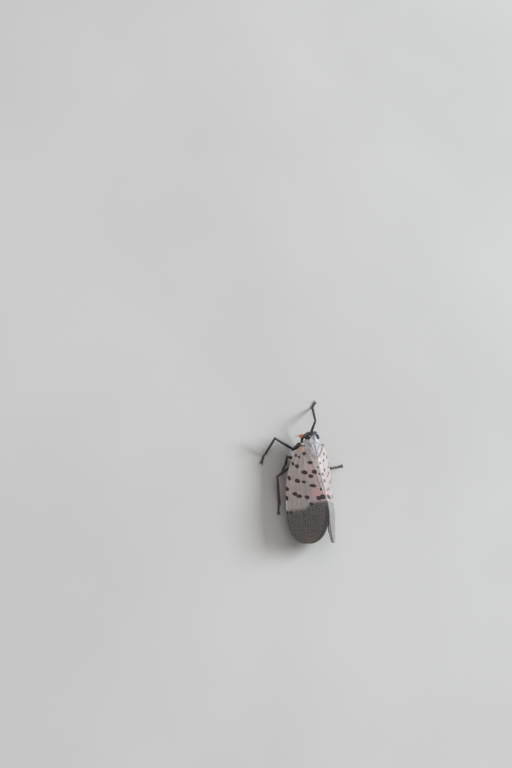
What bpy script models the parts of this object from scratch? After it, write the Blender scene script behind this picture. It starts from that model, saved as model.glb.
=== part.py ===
"""Spotted lanternfly (Lycorma delicatula), adult, life size, standing with its wings folded like a roof.

Metres, +Z up, the head towards +Y and the insect's right side towards +X. The feet stand on Z = 0.
The body is modelled along its own level axis and hung on an empty that lifts and tilts it head up.
The legs are worked out from the same named joints, so their feet come down on the floor.
"""

import math

import bmesh
import bpy
from mathutils import Matrix, Vector

MM = 0.001
UP = Vector((0, 0, 1))

# Stance of the whole body.
BODY_HEIGHT = 5.6 * MM
BODY_PITCH = math.radians(9.0)
BODY_SHIFT = Vector((-1.13 * MM, 3.6 * MM, 0.0))

# Clearance between neighbouring solids, and the least thickness of a membrane.
GAP = 0.3 * MM
MEMBRANE = 0.5 * MM

# Forewing (tegmen), measured along its length s and down its slope t from the ridge of the roof.
WING_LENGTH = 20.6 * MM
WING_START = 0.05 * MM
WING_BASE_Y = 0.9 * MM
WING_WIDTH = 8.7 * MM
WING_BASE_WIDTH = 3.95 * MM
WING_SHOULDER = 0.8 * MM
WING_SHOULDER_RUN = 0.6 * MM
WING_INNER_START = 2.6 * MM
WING_INNER_RUN = 2.35 * MM
WING_APEX_START = 14.0 * MM
WING_APEX_POWER = 2.2
RIDGE_LOW = 1.5 * MM
RIDGE_RISE = 4.0 * MM
RIDGE_RUN = 15.0 * MM
SLOPE_FRONT = math.radians(20.0)
SLOPE_REAR = math.radians(32.0)
SLOPE_RUN = 12.0 * MM
SLOPE_ROOT = math.radians(5.0)
SLOPE_ROOT_RUN = 4.0 * MM
SLOPE_CURVE = math.radians(24.6)
SLOPE_RIGHT_EXTRA = math.radians(3.0)
VEIN_HEIGHT = 0.14 * MM
VEIN_ROWS = (2, 5, 8, 11, 13)
TEGMEN_CELLS = (28, 15)
TEGMEN_TIP = 0.06 * MM

# Hindwing, folded under the forewing.
HIND_START = 3.2 * MM
HIND_END = 18.6 * MM
HIND_INNER = 0.75 * MM
HIND_OUTER_SHARE = 0.86
HIND_TIP_SHARE = 0.12
HINDWING_CELLS = (14, 7)

# Thorax plates.
PRONOTUM_FRONT_Y = 3.68 * MM
PRONOTUM_REAR_Y = 1.75 * MM
PRONOTUM_ANGLE = math.radians(98.0)
PRONOTUM_KEEL = 0.08 * MM
PRONOTUM_CELLS = (26, 5)
PLATE = 0.5 * MM
MESONOTUM_FRONT_Y = 1.4 * MM
MESONOTUM_ARCH = 0.38 * MM
MESONOTUM_TIP_Y = -1.4 * MM
MESONOTUM_HALF_WIDTH = 2.04 * MM
MESONOTUM_TIP_HALF_WIDTH = 0.14 * MM
MESONOTUM_KEEL = 0.07 * MM
MESONOTUM_CELLS = (12, 9)
TEGULA_CENTRE = Vector((2.8, 1.3, 0.12)) * MM
TEGULA_RADII = Vector((0.46, 0.27, 0.28)) * MM

# Thorax: sections across it in millimetres, each its place along the body, half width, top and underside.
THORAX_SECTIONS = (
    (2.0, 1.0, -0.6, -2.2),
    (1.6, 1.4, -0.3, -2.7),
    (1.1, 1.75, 0.0, -3.0),
    (0.4, 2.05, 0.2, -3.2),
    (-0.8, 2.2, 0.35, -3.3),
    (-2.0, 2.2, 0.35, -3.2),
    (-3.0, 2.05, 0.15, -2.95),
)
THORAX_SQUARENESS = 2.4

# Abdomen: its ends in millimetres, its number of rings, and how each swells from its front to its rear.
ABDOMEN_FRONT_Y = -3.3
ABDOMEN_REAR_Y = -12.9
ABDOMEN_RINGS = 7
RING_SWELL = ((0.0, -0.09), (0.16, 0.02), (0.86, 0.1), (0.97, 0.08))
EGG_LAYER_SECTIONS = ((-13.0, 0.55, -0.35, -1.35), (-13.7, 0.42, -0.55, -1.2), (-14.1, 0.18, -0.75, -1.05))

# Head: level sections in millimetres, each its height, front, rear, half width and squareness.
HEAD_SECTIONS = (
    (0.98, 4.08, 3.86, 0.24, 2.0),
    (0.76, 4.14, 3.60, 0.62, 2.4),
    (0.45, 4.12, 2.90, 0.92, 2.6),
    (0.00, 4.08, 2.45, 1.04, 2.8),
    (-0.60, 4.06, 2.36, 1.10, 3.0),
    (-1.30, 3.98, 2.40, 1.10, 2.8),
    (-1.76, 3.87, 2.46, 0.99, 2.6),
    (-1.88, 3.76, 2.48, 0.96, 2.5),
    (-2.00, 3.81, 2.51, 0.92, 2.5),
    (-2.50, 3.58, 2.66, 0.68, 2.2),
    (-3.00, 3.36, 2.86, 0.38, 2.0),
)
HEAD_SIDES = 28
# The face's three keels run down these corners of each section, between its brow and its mouth line.
FACE_KEELS = (5, 7, 9)
FACE_KEEL_HEIGHT = 0.09
FACE_TOP = 0.8
FACE_BOTTOM = -1.8

# Beak: its middle line in millimetres, and its radius at each point.
BEAK_PATH = (
    (0, 3.1, -3.5),
    (0, 2.5, -3.85),
    (0, 1.4, -3.9),
    (0, 0.0, -3.95),
    (0, -1.6, -3.95),
    (0, -3.4, -3.85),
)
BEAK_RADII = (0.26, 0.3, 0.3, 0.28, 0.27, 0.12)

# Eyes and feelers.
EYE_CENTRE = Vector((1.24, 2.95, -0.12)) * MM
EYE_RADII = Vector((0.54, 0.64, 0.76)) * MM
PEDICEL_CENTRE = Vector((1.8, 3.12, -1.58)) * MM
PEDICEL_RADIUS = 0.44 * MM
PEDICEL_LENGTH = 0.98 * MM
PEDICEL_PROFILE = ((0.0, 0.5), (0.1, 0.78), (0.35, 1.0), (0.65, 0.98), (0.88, 0.7), (1.0, 0.35))
FEELER_DIRECTION = Vector((0.96, 0.12, -0.25))
STALK_LENGTH = 1.5 * MM
STALK_RADIUS = 0.27 * MM
BRISTLE_LENGTH = 1.9 * MM
BRISTLE_BEND = Vector((0, -0.5, 0.35)) * MM
BRISTLE_PROFILE = ((0.0, 0.22 * MM), (0.35, 0.16 * MM), (1.0, 0.05 * MM))

# Legs: each profile lists how far along a joint of the leg each radius lies, in millimetres.
COXA_PROFILE = ((0.0, 0.5), (0.3, 0.56), (0.65, 0.45), (0.9, 0.34), (1.0, 0.16))
FEMUR_PROFILE = ((0.0, 0.2), (0.05, 0.3), (0.3, 0.37), (0.6, 0.35), (0.9, 0.3), (0.97, 0.27), (1.0, 0.13))
FEMUR_FLATNESS = 0.74
TIBIA_RADIUS = 0.27 * MM
TIBIA_END = 0.95
HIND_TIBIA_END = 1.12
ANKLE_HEIGHT = 0.62 * MM

# Foot: its profile of three beads and the claws' root in shares of its length and radius.
FOOT_RADIUS = 0.26 * MM
FOOT_SINK = 0.86
FOOT_PROFILE = (
    (0.0, 0.62),
    (0.06, 0.9),
    (0.27, 1.0),
    (0.33, 0.78),
    (0.4, 0.88),
    (0.56, 0.92),
    (0.62, 0.74),
    (0.7, 0.8),
    (0.94, 1.12),
    (1.0, 0.7),
)
CLAW_REACH = 0.72 * MM
CLAW_SPREAD = 0.34 * MM
CLAW_ROOT_SPREAD = 0.1 * MM
CLAW_TIP_HEIGHT = 0.1 * MM
CLAW_RADII = (0.16 * MM, 0.035 * MM)

# Spines of a hind shin: along its outer edge, and the crown at its end.
SPINE_SHARES = (0.28, 0.45, 0.62, 0.79)
SPINE_OUT = 0.66 * MM
SPINE_ALONG = 0.3 * MM
CROWN_SHARE = 0.955
CROWN_TURNS = (-50.0, 0.0, 50.0)
CROWN_OUT = 0.5 * MM
CROWN_ALONG = 0.42 * MM
SPINE_RADII = (0.17 * MM, 0.03 * MM)

# Hip, trochanter and knee in the body's own axes in millimetres, then where on the floor ankle and toe are.
LEG_JOINTS = {
    "fore_l": ((-1.2, 1.4, -2.6), (-3.0, 0.3, -3.0), (-8.95, 2.45, -1.3), (-9.0, -0.95), (-9.9, -2.8)),
    "fore_r": ((1.2, 1.4, -2.6), (1.3, 0.9, -4.2), (2.4, 6.6, -2.1), (5.05, 9.6), (6.3, 11.2)),
    "mid_l": ((-1.4, -0.6, -2.9), (-2.75, -1.65, -3.5), (-6.1, -1.25, -0.9), (-3.9, -3.3), (-4.85, -4.95)),
    "mid_r": ((1.4, -0.4, -2.9), (2.7, -0.9, -3.5), (6.6, -3.7, -2.0), (10.4, -3.5), (12.2, -3.1)),
    "hind_l": ((-1.3, -2.2, -2.8), (-2.3, -2.9, -3.5), (-7.5, -5.6, -2.5), (-6.4, -11.6), (-6.6, -13.6)),
    "hind_r": ((1.3, -2.2, -2.8), (2.3, -2.9, -3.5), (7.0, -5.8, -2.8), (6.6, -12.0), (7.0, -14.0)),
}

COLOURS = {
    "tegmen": ((0.50, 0.45, 0.44), 0.55),
    "hindwing": ((0.32, 0.05, 0.05), 0.5),
    "plate": ((0.46, 0.44, 0.45), 0.6),
    "head": ((0.07, 0.06, 0.06), 0.5),
    "eye": ((0.03, 0.02, 0.02), 0.2),
    "feeler": ((0.75, 0.16, 0.04), 0.4),
    "thorax": ((0.04, 0.04, 0.045), 0.5),
    "abdomen": ((0.70, 0.48, 0.07), 0.5),
    "leg": ((0.025, 0.025, 0.03), 0.4),
}


def clear_scene():
    """Removes what a new Blender file starts with."""
    for obj in list(bpy.data.objects):
        bpy.data.objects.remove(obj)


def make_material(name):
    """A plain finish for one kind of sub-part."""
    colour, roughness = COLOURS[name]
    material = bpy.data.materials.new(name)
    material.use_nodes = True
    shader = material.node_tree.nodes["Principled BSDF"]
    shader.inputs["Base Color"].default_value = (*colour, 1.0)
    shader.inputs["Roughness"].default_value = roughness
    return material


def add_object(name, bm, kit, finish=None, parent=None, cutter=False):
    """Turns a bmesh into a named object in the model's collection, or in the cutters' one."""
    mesh = bpy.data.meshes.new(name)
    bm.to_mesh(mesh)
    bm.free()
    obj = bpy.data.objects.new(name, mesh)
    (kit["cutters"] if cutter else kit["model"]).objects.link(obj)
    obj.parent = parent
    if cutter:
        obj.hide_render = True
        obj.display_type = "WIRE"
    else:
        mesh.materials.append(kit["materials"][finish])
        mesh.shade_smooth()
        mesh.set_sharp_from_angle(angle=math.radians(50.0))
    return obj


def carve(obj, cutter, solver="EXACT"):
    """Cuts one object clear of a cutter."""
    cut = obj.modifiers.new("clear_of_" + cutter.name, "BOOLEAN")
    cut.operation = "DIFFERENCE"
    cut.object = cutter
    cut.solver = solver


def carve_collar(obj, collar):
    """Cuts one object clear of the grown collar, a thin bent shell on which the exact solver fails."""
    carve(obj, collar, "MANIFOLD")


def keep_largest(bm):
    """Deletes every closed surface but the biggest one."""
    left = set(bm.verts)
    islands = []
    while left:
        stack = [left.pop()]
        island = set(stack)
        while stack:
            for edge in stack.pop().link_edges:
                for vert in edge.verts:
                    if vert in left:
                        left.discard(vert)
                        island.add(vert)
                        stack.append(vert)
        islands.append(island)
    islands.sort(key=len)
    for island in islands[:-1]:
        bmesh.ops.delete(bm, geom=list(island), context="VERTS")


def fuse(obj, pieces, solver="MANIFOLD"):
    """Joins pieces to an object with one Boolean union, and keeps its largest closed surface."""
    group = bpy.data.collections.new(obj.name + "_pieces")
    bpy.context.scene.collection.children.link(group)
    for piece in pieces:
        for old in list(piece.users_collection):
            old.objects.unlink(piece)
        group.objects.link(piece)
    join = obj.modifiers.new("join", "BOOLEAN")
    join.operation = "UNION"
    join.operand_type = "COLLECTION"
    join.collection = group
    join.solver = solver
    bpy.context.view_layer.update()
    graph = bpy.context.evaluated_depsgraph_get()
    mesh = bpy.data.meshes.new_from_object(obj.evaluated_get(graph))
    obj.modifiers.remove(join)
    bm = bmesh.new()
    bm.from_mesh(mesh)
    keep_largest(bm)
    bm.to_mesh(mesh)
    bm.free()
    obj.data = mesh
    obj.data.shade_smooth()
    obj.data.set_sharp_from_angle(angle=math.radians(50.0))
    for piece in pieces:
        bpy.data.objects.remove(piece)
    bpy.data.collections.remove(group)


def loft(rings):
    """A closed body through rings of equal length, each end closed by one face."""
    bm = bmesh.new()
    loops = [[bm.verts.new(point) for point in ring] for ring in rings]
    count = len(loops[0])
    for low, high in zip(loops, loops[1:]):
        for i in range(count):
            j = (i + 1) % count
            bm.faces.new((low[i], low[j], high[j], high[i]))
    bm.faces.new(loops[0])
    bm.faces.new(loops[-1])
    bmesh.ops.recalc_face_normals(bm, faces=bm.faces)
    bmesh.ops.triangulate(bm, faces=bm.faces)
    return bm


def superellipse(angle, power):
    """The unit outline that is a circle at power 2 and squarer above it."""
    c, s = math.cos(angle), math.sin(angle)
    return (
        math.copysign(abs(c) ** (2.0 / power), c),
        math.copysign(abs(s) ** (2.0 / power), s),
    )


def upright_ring(y, half_width, top, bottom, sides, power=2.0, grow=0.0):
    """A ring across the body at y, from its top to its underside, all in millimetres but grow."""
    middle, half_height = (top + bottom) / 2 * MM, (top - bottom) / 2 * MM + grow
    ring = []
    for i in range(sides):
        a, b = superellipse(2 * math.pi * i / sides, power)
        ring.append(Vector((a * (half_width * MM + grow), y * MM, middle + b * half_height)))
    return ring


def face_ring(section, keel=0.0, grow=0.0):
    """A level ring through the head, whose face stands out by keel in millimetres along its keels."""
    z, front, rear, half_width, power = section
    middle, half_depth = (front + rear) / 2 * MM, (front - rear) / 2 * MM + grow
    ring = []
    for i in range(HEAD_SIDES):
        a, b = superellipse(2 * math.pi * i / HEAD_SIDES, power)
        out = keel * MM if i in FACE_KEELS else 0.0
        ring.append(Vector((a * (half_width * MM + grow), middle + b * half_depth + out, z * MM)))
    return ring


def sheet(columns, rows, place, flip):
    """A triangulated open surface: place(u, v) gives each point of a grid from 0 to 1."""
    bm = bmesh.new()
    bmesh.ops.create_grid(bm, x_segments=columns, y_segments=rows, size=1.0)
    for vert in bm.verts:
        vert.co = place((vert.co.x + 1) / 2, (vert.co.y + 1) / 2)
    bmesh.ops.triangulate(bm, faces=bm.faces, quad_method="FIXED")
    if flip:
        bmesh.ops.reverse_faces(bm, faces=bm.faces)
    return bm


def thicken(obj, thickness, offset):
    """Gives an open surface its thickness: offset 1 grows out along its normals, -1 in."""
    shell = obj.modifiers.new("shell", "SOLIDIFY")
    shell.thickness = thickness
    shell.offset = offset
    return shell


def smoothstep(x):
    """Rises from 0 to 1 with level ends."""
    x = min(1.0, max(0.0, x))
    return x * x * (3 - 2 * x)


def wing_margins(s):
    """The forewing's inner and outer margins at s, down its slope from the ridge."""
    if s < WING_APEX_START:
        swell = math.sin(math.pi / 2 * s / WING_APEX_START)
        shoulder = WING_SHOULDER * math.exp(-s / WING_SHOULDER_RUN)
        outer = WING_BASE_WIDTH + (WING_WIDTH - WING_BASE_WIDTH) * swell - shoulder
        inner = max(0.0, WING_INNER_START * (1 - s / WING_INNER_RUN))
        return inner, outer
    run = min(1.0, (s - WING_APEX_START) / (WING_LENGTH - WING_APEX_START))
    half = WING_WIDTH / 2 * (1 - run**WING_APEX_POWER) ** (1 / WING_APEX_POWER)
    return WING_WIDTH / 2 - half, WING_WIDTH / 2 + half


def wing_point(s, t, side, lift=0.0):
    """A point of the roof of the wings at s along and t down it, lifted along its normal."""
    steepness = SLOPE_CURVE / WING_WIDTH
    rear = SLOPE_REAR + (SLOPE_RIGHT_EXTRA if side > 0 else 0.0)
    first = SLOPE_FRONT + (rear - SLOPE_FRONT) * smoothstep(s / SLOPE_RUN)
    first += SLOPE_ROOT * math.exp(-s / SLOPE_ROOT_RUN)
    slope = first + steepness * t
    ridge = RIDGE_LOW + RIDGE_RISE * smoothstep(s / RIDGE_RUN)
    root = (GAP + MEMBRANE * math.sin(first)) / 2
    x = root + (math.sin(slope) - math.sin(first)) / steepness + lift * math.sin(slope)
    z = ridge - (math.cos(first) - math.cos(slope)) / steepness + lift * math.cos(slope)
    return Vector((side * x, WING_BASE_Y - s, z))


def make_tegmen(kit, name, side):
    """A forewing: a thick membrane whose main veins stand up as ridges."""
    columns, rows = TEGMEN_CELLS
    end = WING_LENGTH - TEGMEN_TIP

    def place(u, v):
        s = WING_START + (end - WING_START) * math.sin(math.pi / 2 * u) ** 0.9
        inner, outer = wing_margins(s)
        return wing_point(s, inner + (outer - inner) * v, side, -MEMBRANE / 2)

    obj = add_object(name, sheet(columns, rows, place, side < 0), kit, "tegmen", kit["body"])
    veins = obj.vertex_groups.new(name="veins")
    bm = bmesh.new()
    bmesh.ops.create_grid(bm, x_segments=columns, y_segments=rows, size=1.0)
    raised = [v.index for v in bm.verts if round((v.co.y + 1) / 2 * rows) in VEIN_ROWS]
    bm.free()
    veins.add(raised, 1.0, "REPLACE")
    shell = thicken(obj, MEMBRANE + VEIN_HEIGHT, 1.0)
    shell.vertex_group = "veins"
    shell.thickness_vertex_group = MEMBRANE / (MEMBRANE + VEIN_HEIGHT)
    return obj


def make_hindwing(kit, name, side):
    """A hindwing folded flat under the forewing, its tip in the gap behind the ridge."""
    depth = -(MEMBRANE + GAP)

    def place(u, v):
        s = HIND_START + (HIND_END - HIND_START) * math.sin(math.pi / 2 * u)
        inner, outer = wing_margins(s)
        round_off = math.sqrt(max(0.0, 1 - u**6))
        low, high = max(inner, HIND_INNER), outer * HIND_OUTER_SHARE
        middle = (low + high) / 2
        half = (high - low) / 2 * max(round_off, HIND_TIP_SHARE)
        return wing_point(s, middle + half * (2 * v - 1), side, depth)

    obj = add_object(name, sheet(*HINDWING_CELLS, place, side < 0), kit, "hindwing", kit["body"])
    thicken(obj, MEMBRANE, 0.0)
    return obj


def pronotum_point(angle, v, grow=0.0):
    """A point of the collar, at an angle round the body and v from its front to its rear."""
    share = abs(angle) / PRONOTUM_ANGLE
    blunt = math.hypot(share, 0.05) - 0.05
    front = PRONOTUM_FRONT_Y - 1.98 * MM * blunt**0.65 + 1.7 * grow
    rear = PRONOTUM_REAR_Y - 0.6 * MM * share - 1.2 * grow
    width = (1.85 + 0.65 * smoothstep(v)) * MM + grow
    height = (1.65 + 0.35 * v) * MM + grow
    top = (0.55 + 0.5 * v) * MM + grow
    y = front + (rear - front) * v
    keel = PRONOTUM_KEEL * math.exp(-((share / 0.06) ** 2))
    return Vector((width * math.sin(angle), y, top + keel - height * (1 - math.cos(angle))))


def make_pronotum(kit):
    """The collar behind the head, arched forward between the eyes."""

    def place(u, v):
        return pronotum_point((2 * u - 1) * PRONOTUM_ANGLE, v)

    obj = add_object("pronotum", sheet(*PRONOTUM_CELLS, place, True), kit, "plate", kit["body"])
    thicken(obj, PLATE, -1.0)
    return obj


def make_pronotum_cutter(kit):
    """The collar grown by the clearance, to cut its neighbours."""
    reach = PRONOTUM_ANGLE + math.radians(8.0)

    def place(u, v):
        return pronotum_point((2 * u - 1) * reach, v, GAP)

    shell = sheet(*PRONOTUM_CELLS, place, True)
    cutter = add_object("pronotum_cutter", shell, kit, parent=kit["body"], cutter=True)
    thicken(cutter, PLATE + 2 * GAP, -1.0)
    return cutter


def make_mesonotum(kit):
    """The three-cornered shield between the wing bases, with its three keels."""

    def place(u, v):
        across = 2 * u - 1
        half = MESONOTUM_HALF_WIDTH * (1 - v) + MESONOTUM_TIP_HALF_WIDTH
        x = half * across
        front = MESONOTUM_FRONT_Y - MESONOTUM_ARCH * abs(across)
        y = front + (MESONOTUM_TIP_Y - front) * v
        crown = 1.1 * MM + 0.2 * (MESONOTUM_FRONT_Y - y)
        keel = MESONOTUM_KEEL * max(0.0, math.cos(3 * math.pi * across)) * (1 - v)
        return Vector((x, y, crown - 0.17 * x * x / MM + keel))

    obj = add_object("mesonotum", sheet(*MESONOTUM_CELLS, place, True), kit, "plate", kit["body"])
    thicken(obj, PLATE, -1.0)
    return obj


def make_head(kit, collar):
    """The head from its blunt raised tip down the long keeled face to the mouth."""
    keels = [FACE_KEEL_HEIGHT if FACE_BOTTOM < section[0] < FACE_TOP else 0.0 for section in HEAD_SECTIONS]
    rings = [face_ring(section, keel) for section, keel in zip(HEAD_SECTIONS, keels)]
    head = add_object("head", loft(rings), kit, "head", kit["body"])
    carve_collar(head, collar)
    rings = [face_ring(section, grow=GAP) for section in HEAD_SECTIONS]
    grown = add_object("head_cutter", loft(rings), kit, parent=kit["body"], cutter=True)
    return grown


def ellipsoid(centre, radii, u=16, v=10):
    """A closed round body from a sphere."""
    bm = bmesh.new()
    bmesh.ops.create_uvsphere(bm, u_segments=u, v_segments=v, radius=1.0)
    bm.transform(Matrix.Translation(centre) @ Matrix.Diagonal((*radii, 1.0)))
    bmesh.ops.triangulate(bm, faces=bm.faces)
    return bm


def make_eye(kit, name, side, head_cutter, collar):
    """A bulging compound eye, set on the side of the head, and a grown copy to cut the feeler by."""
    centre = Vector((side * EYE_CENTRE.x, EYE_CENTRE.y, EYE_CENTRE.z))
    eye = add_object(name, ellipsoid(centre, EYE_RADII), kit, "eye", kit["body"])
    carve(eye, head_cutter)
    carve_collar(eye, collar)
    grown = ellipsoid(centre, EYE_RADII + Vector((GAP, GAP, GAP)))
    return add_object(name + "_cutter", grown, kit, parent=kit["body"], cutter=True)


def limb(points_radii, across, sides=8, flatten=1.0, grow=0.0):
    """A tapering limb through points with a radius each, flattened across its own upright."""
    points = [Vector(p) for p, _ in points_radii]
    rings = []
    for k, (_, radius) in enumerate(points_radii):
        before, after = points[max(0, k - 1)], points[min(len(points) - 1, k + 1)]
        along = (after - before).normalized()
        side = along.cross(across).normalized()
        up = side.cross(along)
        ring = []
        for i in range(sides):
            a, b = superellipse(2 * math.pi * (i + 0.5) / sides, 2.0)
            ring.append(points[k] + side * (a * (radius * flatten + grow)) + up * (b * (radius + grow)))
        rings.append(ring)
    return loft(rings)


def straight_limb(start, end, profile, sides=8, flatten=1.0, grow=0.0):
    """A limb from start to end: profile lists how far along each radius lies."""
    reach = (end - start).normalized() * grow
    start, end = start - reach, end + reach
    rows = [(start.lerp(end, share), radius) for share, radius in profile]
    return limb(rows, UP, sides, flatten, grow)


def make_antenna(kit, name, side, cutters):
    """The short feeler under the eye: a stalk, an orange bulb and a fine bristle."""
    out = Vector((side * FEELER_DIRECTION.x, FEELER_DIRECTION.y, FEELER_DIRECTION.z)).normalized()
    centre = Vector((side * PEDICEL_CENTRE.x, PEDICEL_CENTRE.y, PEDICEL_CENTRE.z))
    half = out * (PEDICEL_LENGTH / 2)
    profile = [(share, radius * PEDICEL_RADIUS) for share, radius in PEDICEL_PROFILE]
    bulb = straight_limb(centre - half, centre + half, profile, 12)
    antenna = add_object(name, bulb, kit, "feeler", kit["body"])
    stalk = straight_limb(centre - out * STALK_LENGTH, centre, ((0.0, STALK_RADIUS), (1.0, STALK_RADIUS)))
    bristle = straight_limb(centre, centre + out * BRISTLE_LENGTH + BRISTLE_BEND, BRISTLE_PROFILE, 6)
    pieces = [
        add_object(name + "_stalk", stalk, kit, "feeler", kit["body"]),
        add_object(name + "_bristle", bristle, kit, "feeler", kit["body"]),
    ]
    fuse(antenna, pieces)
    for cutter in cutters:
        carve(antenna, cutter)
    return antenna


def make_rostrum(kit):
    """The beak, laid back under the body between the legs."""
    rows = [(Vector(point) * MM, radius * MM) for point, radius in zip(BEAK_PATH, BEAK_RADII)]
    return add_object("rostrum", limb(rows, UP, 8), kit, "head", kit["body"])


def thorax_rings(grow):
    """The rings of the thorax from the neck back to the waist."""
    return [upright_ring(*section, 20, THORAX_SQUARENESS, grow) for section in THORAX_SECTIONS]


def make_thorax(kit, collar):
    """The black body between head and belly, which carries the legs."""
    thorax = add_object("thorax", loft(thorax_rings(0.0)), kit, "thorax", kit["body"])
    carve_collar(thorax, collar)
    return add_object("thorax_cutter", loft(thorax_rings(GAP)), kit, parent=kit["body"], cutter=True)


def abdomen_section(y):
    """The belly's half width, top and underside at y, all in millimetres."""
    share = (ABDOMEN_FRONT_Y - y) / (ABDOMEN_FRONT_Y - ABDOMEN_REAR_Y)
    half = 2.15 + 0.55 * math.sin(math.pi * min(1.0, share * 1.7)) - 2.0 * share**2.6
    top = 0.05 + 0.95 * math.sin(math.pi / 2 * min(1.0, share * 2.0)) - 1.1 * share**3
    bottom = -2.9 + 0.2 * math.sin(math.pi * share) + 1.5 * share**3
    return half, top, bottom


def make_abdomen(kit):
    """The banded belly: each ring overlaps the next like a collar."""
    rings = []
    length = (ABDOMEN_FRONT_Y - ABDOMEN_REAR_Y) / ABDOMEN_RINGS
    for k in range(ABDOMEN_RINGS):
        for within, swell in RING_SWELL:
            y = ABDOMEN_FRONT_Y - length * (k + within)
            half, top, bottom = abdomen_section(y)
            rings.append(upright_ring(y, half + swell, top + swell, bottom - swell, 18))
    rings.extend(upright_ring(*section, 18) for section in EGG_LAYER_SECTIONS)
    return add_object("abdomen", loft(rings), kit, "abdomen", kit["body"])


def make_tegula(kit, name, side, collar):
    """The small scale over the front of a wing's root."""
    centre = Vector((side * TEGULA_CENTRE.x, TEGULA_CENTRE.y, TEGULA_CENTRE.z))
    tegula = add_object(name, ellipsoid(centre, TEGULA_RADII, 12, 8), kit, "plate", kit["body"])
    carve_collar(tegula, collar)
    return tegula


def to_world(point):
    """A point of the body's own axes, given in millimetres, where it stands in the world."""
    turned = Matrix.Rotation(BODY_PITCH, 3, "X") @ (Vector(point) * MM)
    return turned + BODY_SHIFT + Vector((0, 0, BODY_HEIGHT))


def floor_point(x, y, height):
    """A point a given height over the floor, at a place given in the body's axes."""
    level = -(BODY_HEIGHT + y * MM * math.sin(BODY_PITCH)) / math.cos(BODY_PITCH) / MM
    point = to_world((x, y, level))
    return Vector((point.x, point.y, height))


def cone_between(start, end, radius, tip, sides=6):
    """A spine or claw from its sunk root to its tip."""
    bm = bmesh.new()
    along = end - start
    bmesh.ops.create_cone(
        bm, cap_ends=True, segments=sides, radius1=radius, radius2=tip, depth=along.length
    )
    turn = along.to_track_quat("Z", "Y").to_matrix().to_4x4()
    bm.transform(Matrix.Translation((start + end) / 2) @ turn)
    bmesh.ops.triangulate(bm, faces=bm.faces)
    return bm


def leg_piece(kit, name, start, end, profile, cutter, flatten=1.0):
    """One joint of a leg, cut clear of the one it hangs on. Returns its grown copy, to cut the next."""
    rows = [(share, radius * MM) for share, radius in profile]
    piece = add_object(name, straight_limb(start, end, rows, 10, flatten), kit, "leg")
    carve(piece, cutter)
    grown = straight_limb(start, end, rows, 10, flatten, GAP)
    return add_object(name + "_cutter", grown, kit, cutter=True)


def spine_rows(start, end, out):
    """Where the spines of a hind shin stand, each from its root to its tip."""
    along = (end - start).normalized()
    rows = []
    for share in SPINE_SHARES:
        root = start.lerp(end, share)
        rows.append((root, root + out * SPINE_OUT + along * SPINE_ALONG))
    for turn in CROWN_TURNS:
        root = start.lerp(end, CROWN_SHARE)
        lean = Matrix.Rotation(math.radians(turn), 3, along) @ out
        rows.append((root, root + lean * CROWN_OUT + along * CROWN_ALONG))
    return rows


def make_tibia(kit, leg, knee, ankle, hind, cutter):
    """The slender shin, with spines on the hind legs."""
    end_share = HIND_TIBIA_END if hind else TIBIA_END
    shares = ((0.0, 0.8), (0.3, 1.0), (0.7, 1.0), (0.97, end_share), (1.0, 0.75))
    profile = [(share, radius * TIBIA_RADIUS) for share, radius in shares]
    tibia = add_object(leg + "_tibia", straight_limb(knee, ankle, profile), kit, "leg")
    if hind:
        outward = Vector((math.copysign(1.0, knee.x - BODY_SHIFT.x), 0, 0.35)).normalized()
        spines = [
            add_object(f"{leg}_spine_{k}", cone_between(root, tip, *SPINE_RADII), kit, "leg")
            for k, (root, tip) in enumerate(spine_rows(knee, ankle, outward))
        ]
        fuse(tibia, spines)
    carve(tibia, cutter)
    return tibia


def make_tarsus(kit, leg, ankle, toe):
    """The foot: three beads and a pair of claws, flat where it stands on the floor."""
    heading = toe - ankle
    heading.z = 0.0
    length = heading.length
    heading.normalize()
    start = Vector((ankle.x, ankle.y, FOOT_RADIUS * FOOT_SINK)) + heading * (TIBIA_RADIUS * 0.6)
    profile = [(share, radius * FOOT_RADIUS) for share, radius in FOOT_PROFILE]
    foot = straight_limb(start, start + heading * (length - GAP), profile)
    tarsus = add_object(leg + "_tarsus", foot, kit, "leg")
    side = UP.cross(heading)
    toe_root = start + heading * (length - 0.5 * MM)
    claws = []
    for k, way in enumerate((-1, 1)):
        tip = toe_root + heading * CLAW_REACH + side * (way * CLAW_SPREAD)
        tip.z = CLAW_TIP_HEIGHT
        root = toe_root + side * (way * CLAW_ROOT_SPREAD)
        claws.append(add_object(f"{leg}_claw_{k}", cone_between(root, tip, *CLAW_RADII), kit, "leg"))
    fuse(tarsus, claws)
    flatten_on_floor(tarsus)
    return tarsus


def flatten_on_floor(obj):
    """Cuts off what lies under Z = 0 and closes the cut with one flat face."""
    bm = bmesh.new()
    bm.from_mesh(obj.data)
    cut = bmesh.ops.bisect_plane(
        bm,
        geom=bm.verts[:] + bm.edges[:] + bm.faces[:],
        plane_co=(0, 0, 0),
        plane_no=(0, 0, 1),
        clear_inner=True,
        dist=1e-7,
    )
    edges = [e for e in cut["geom_cut"] if isinstance(e, bmesh.types.BMEdge)]
    bmesh.ops.holes_fill(bm, edges=edges, sides=0)
    bmesh.ops.recalc_face_normals(bm, faces=bm.faces)
    bm.to_mesh(obj.data)
    bm.free()


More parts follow.
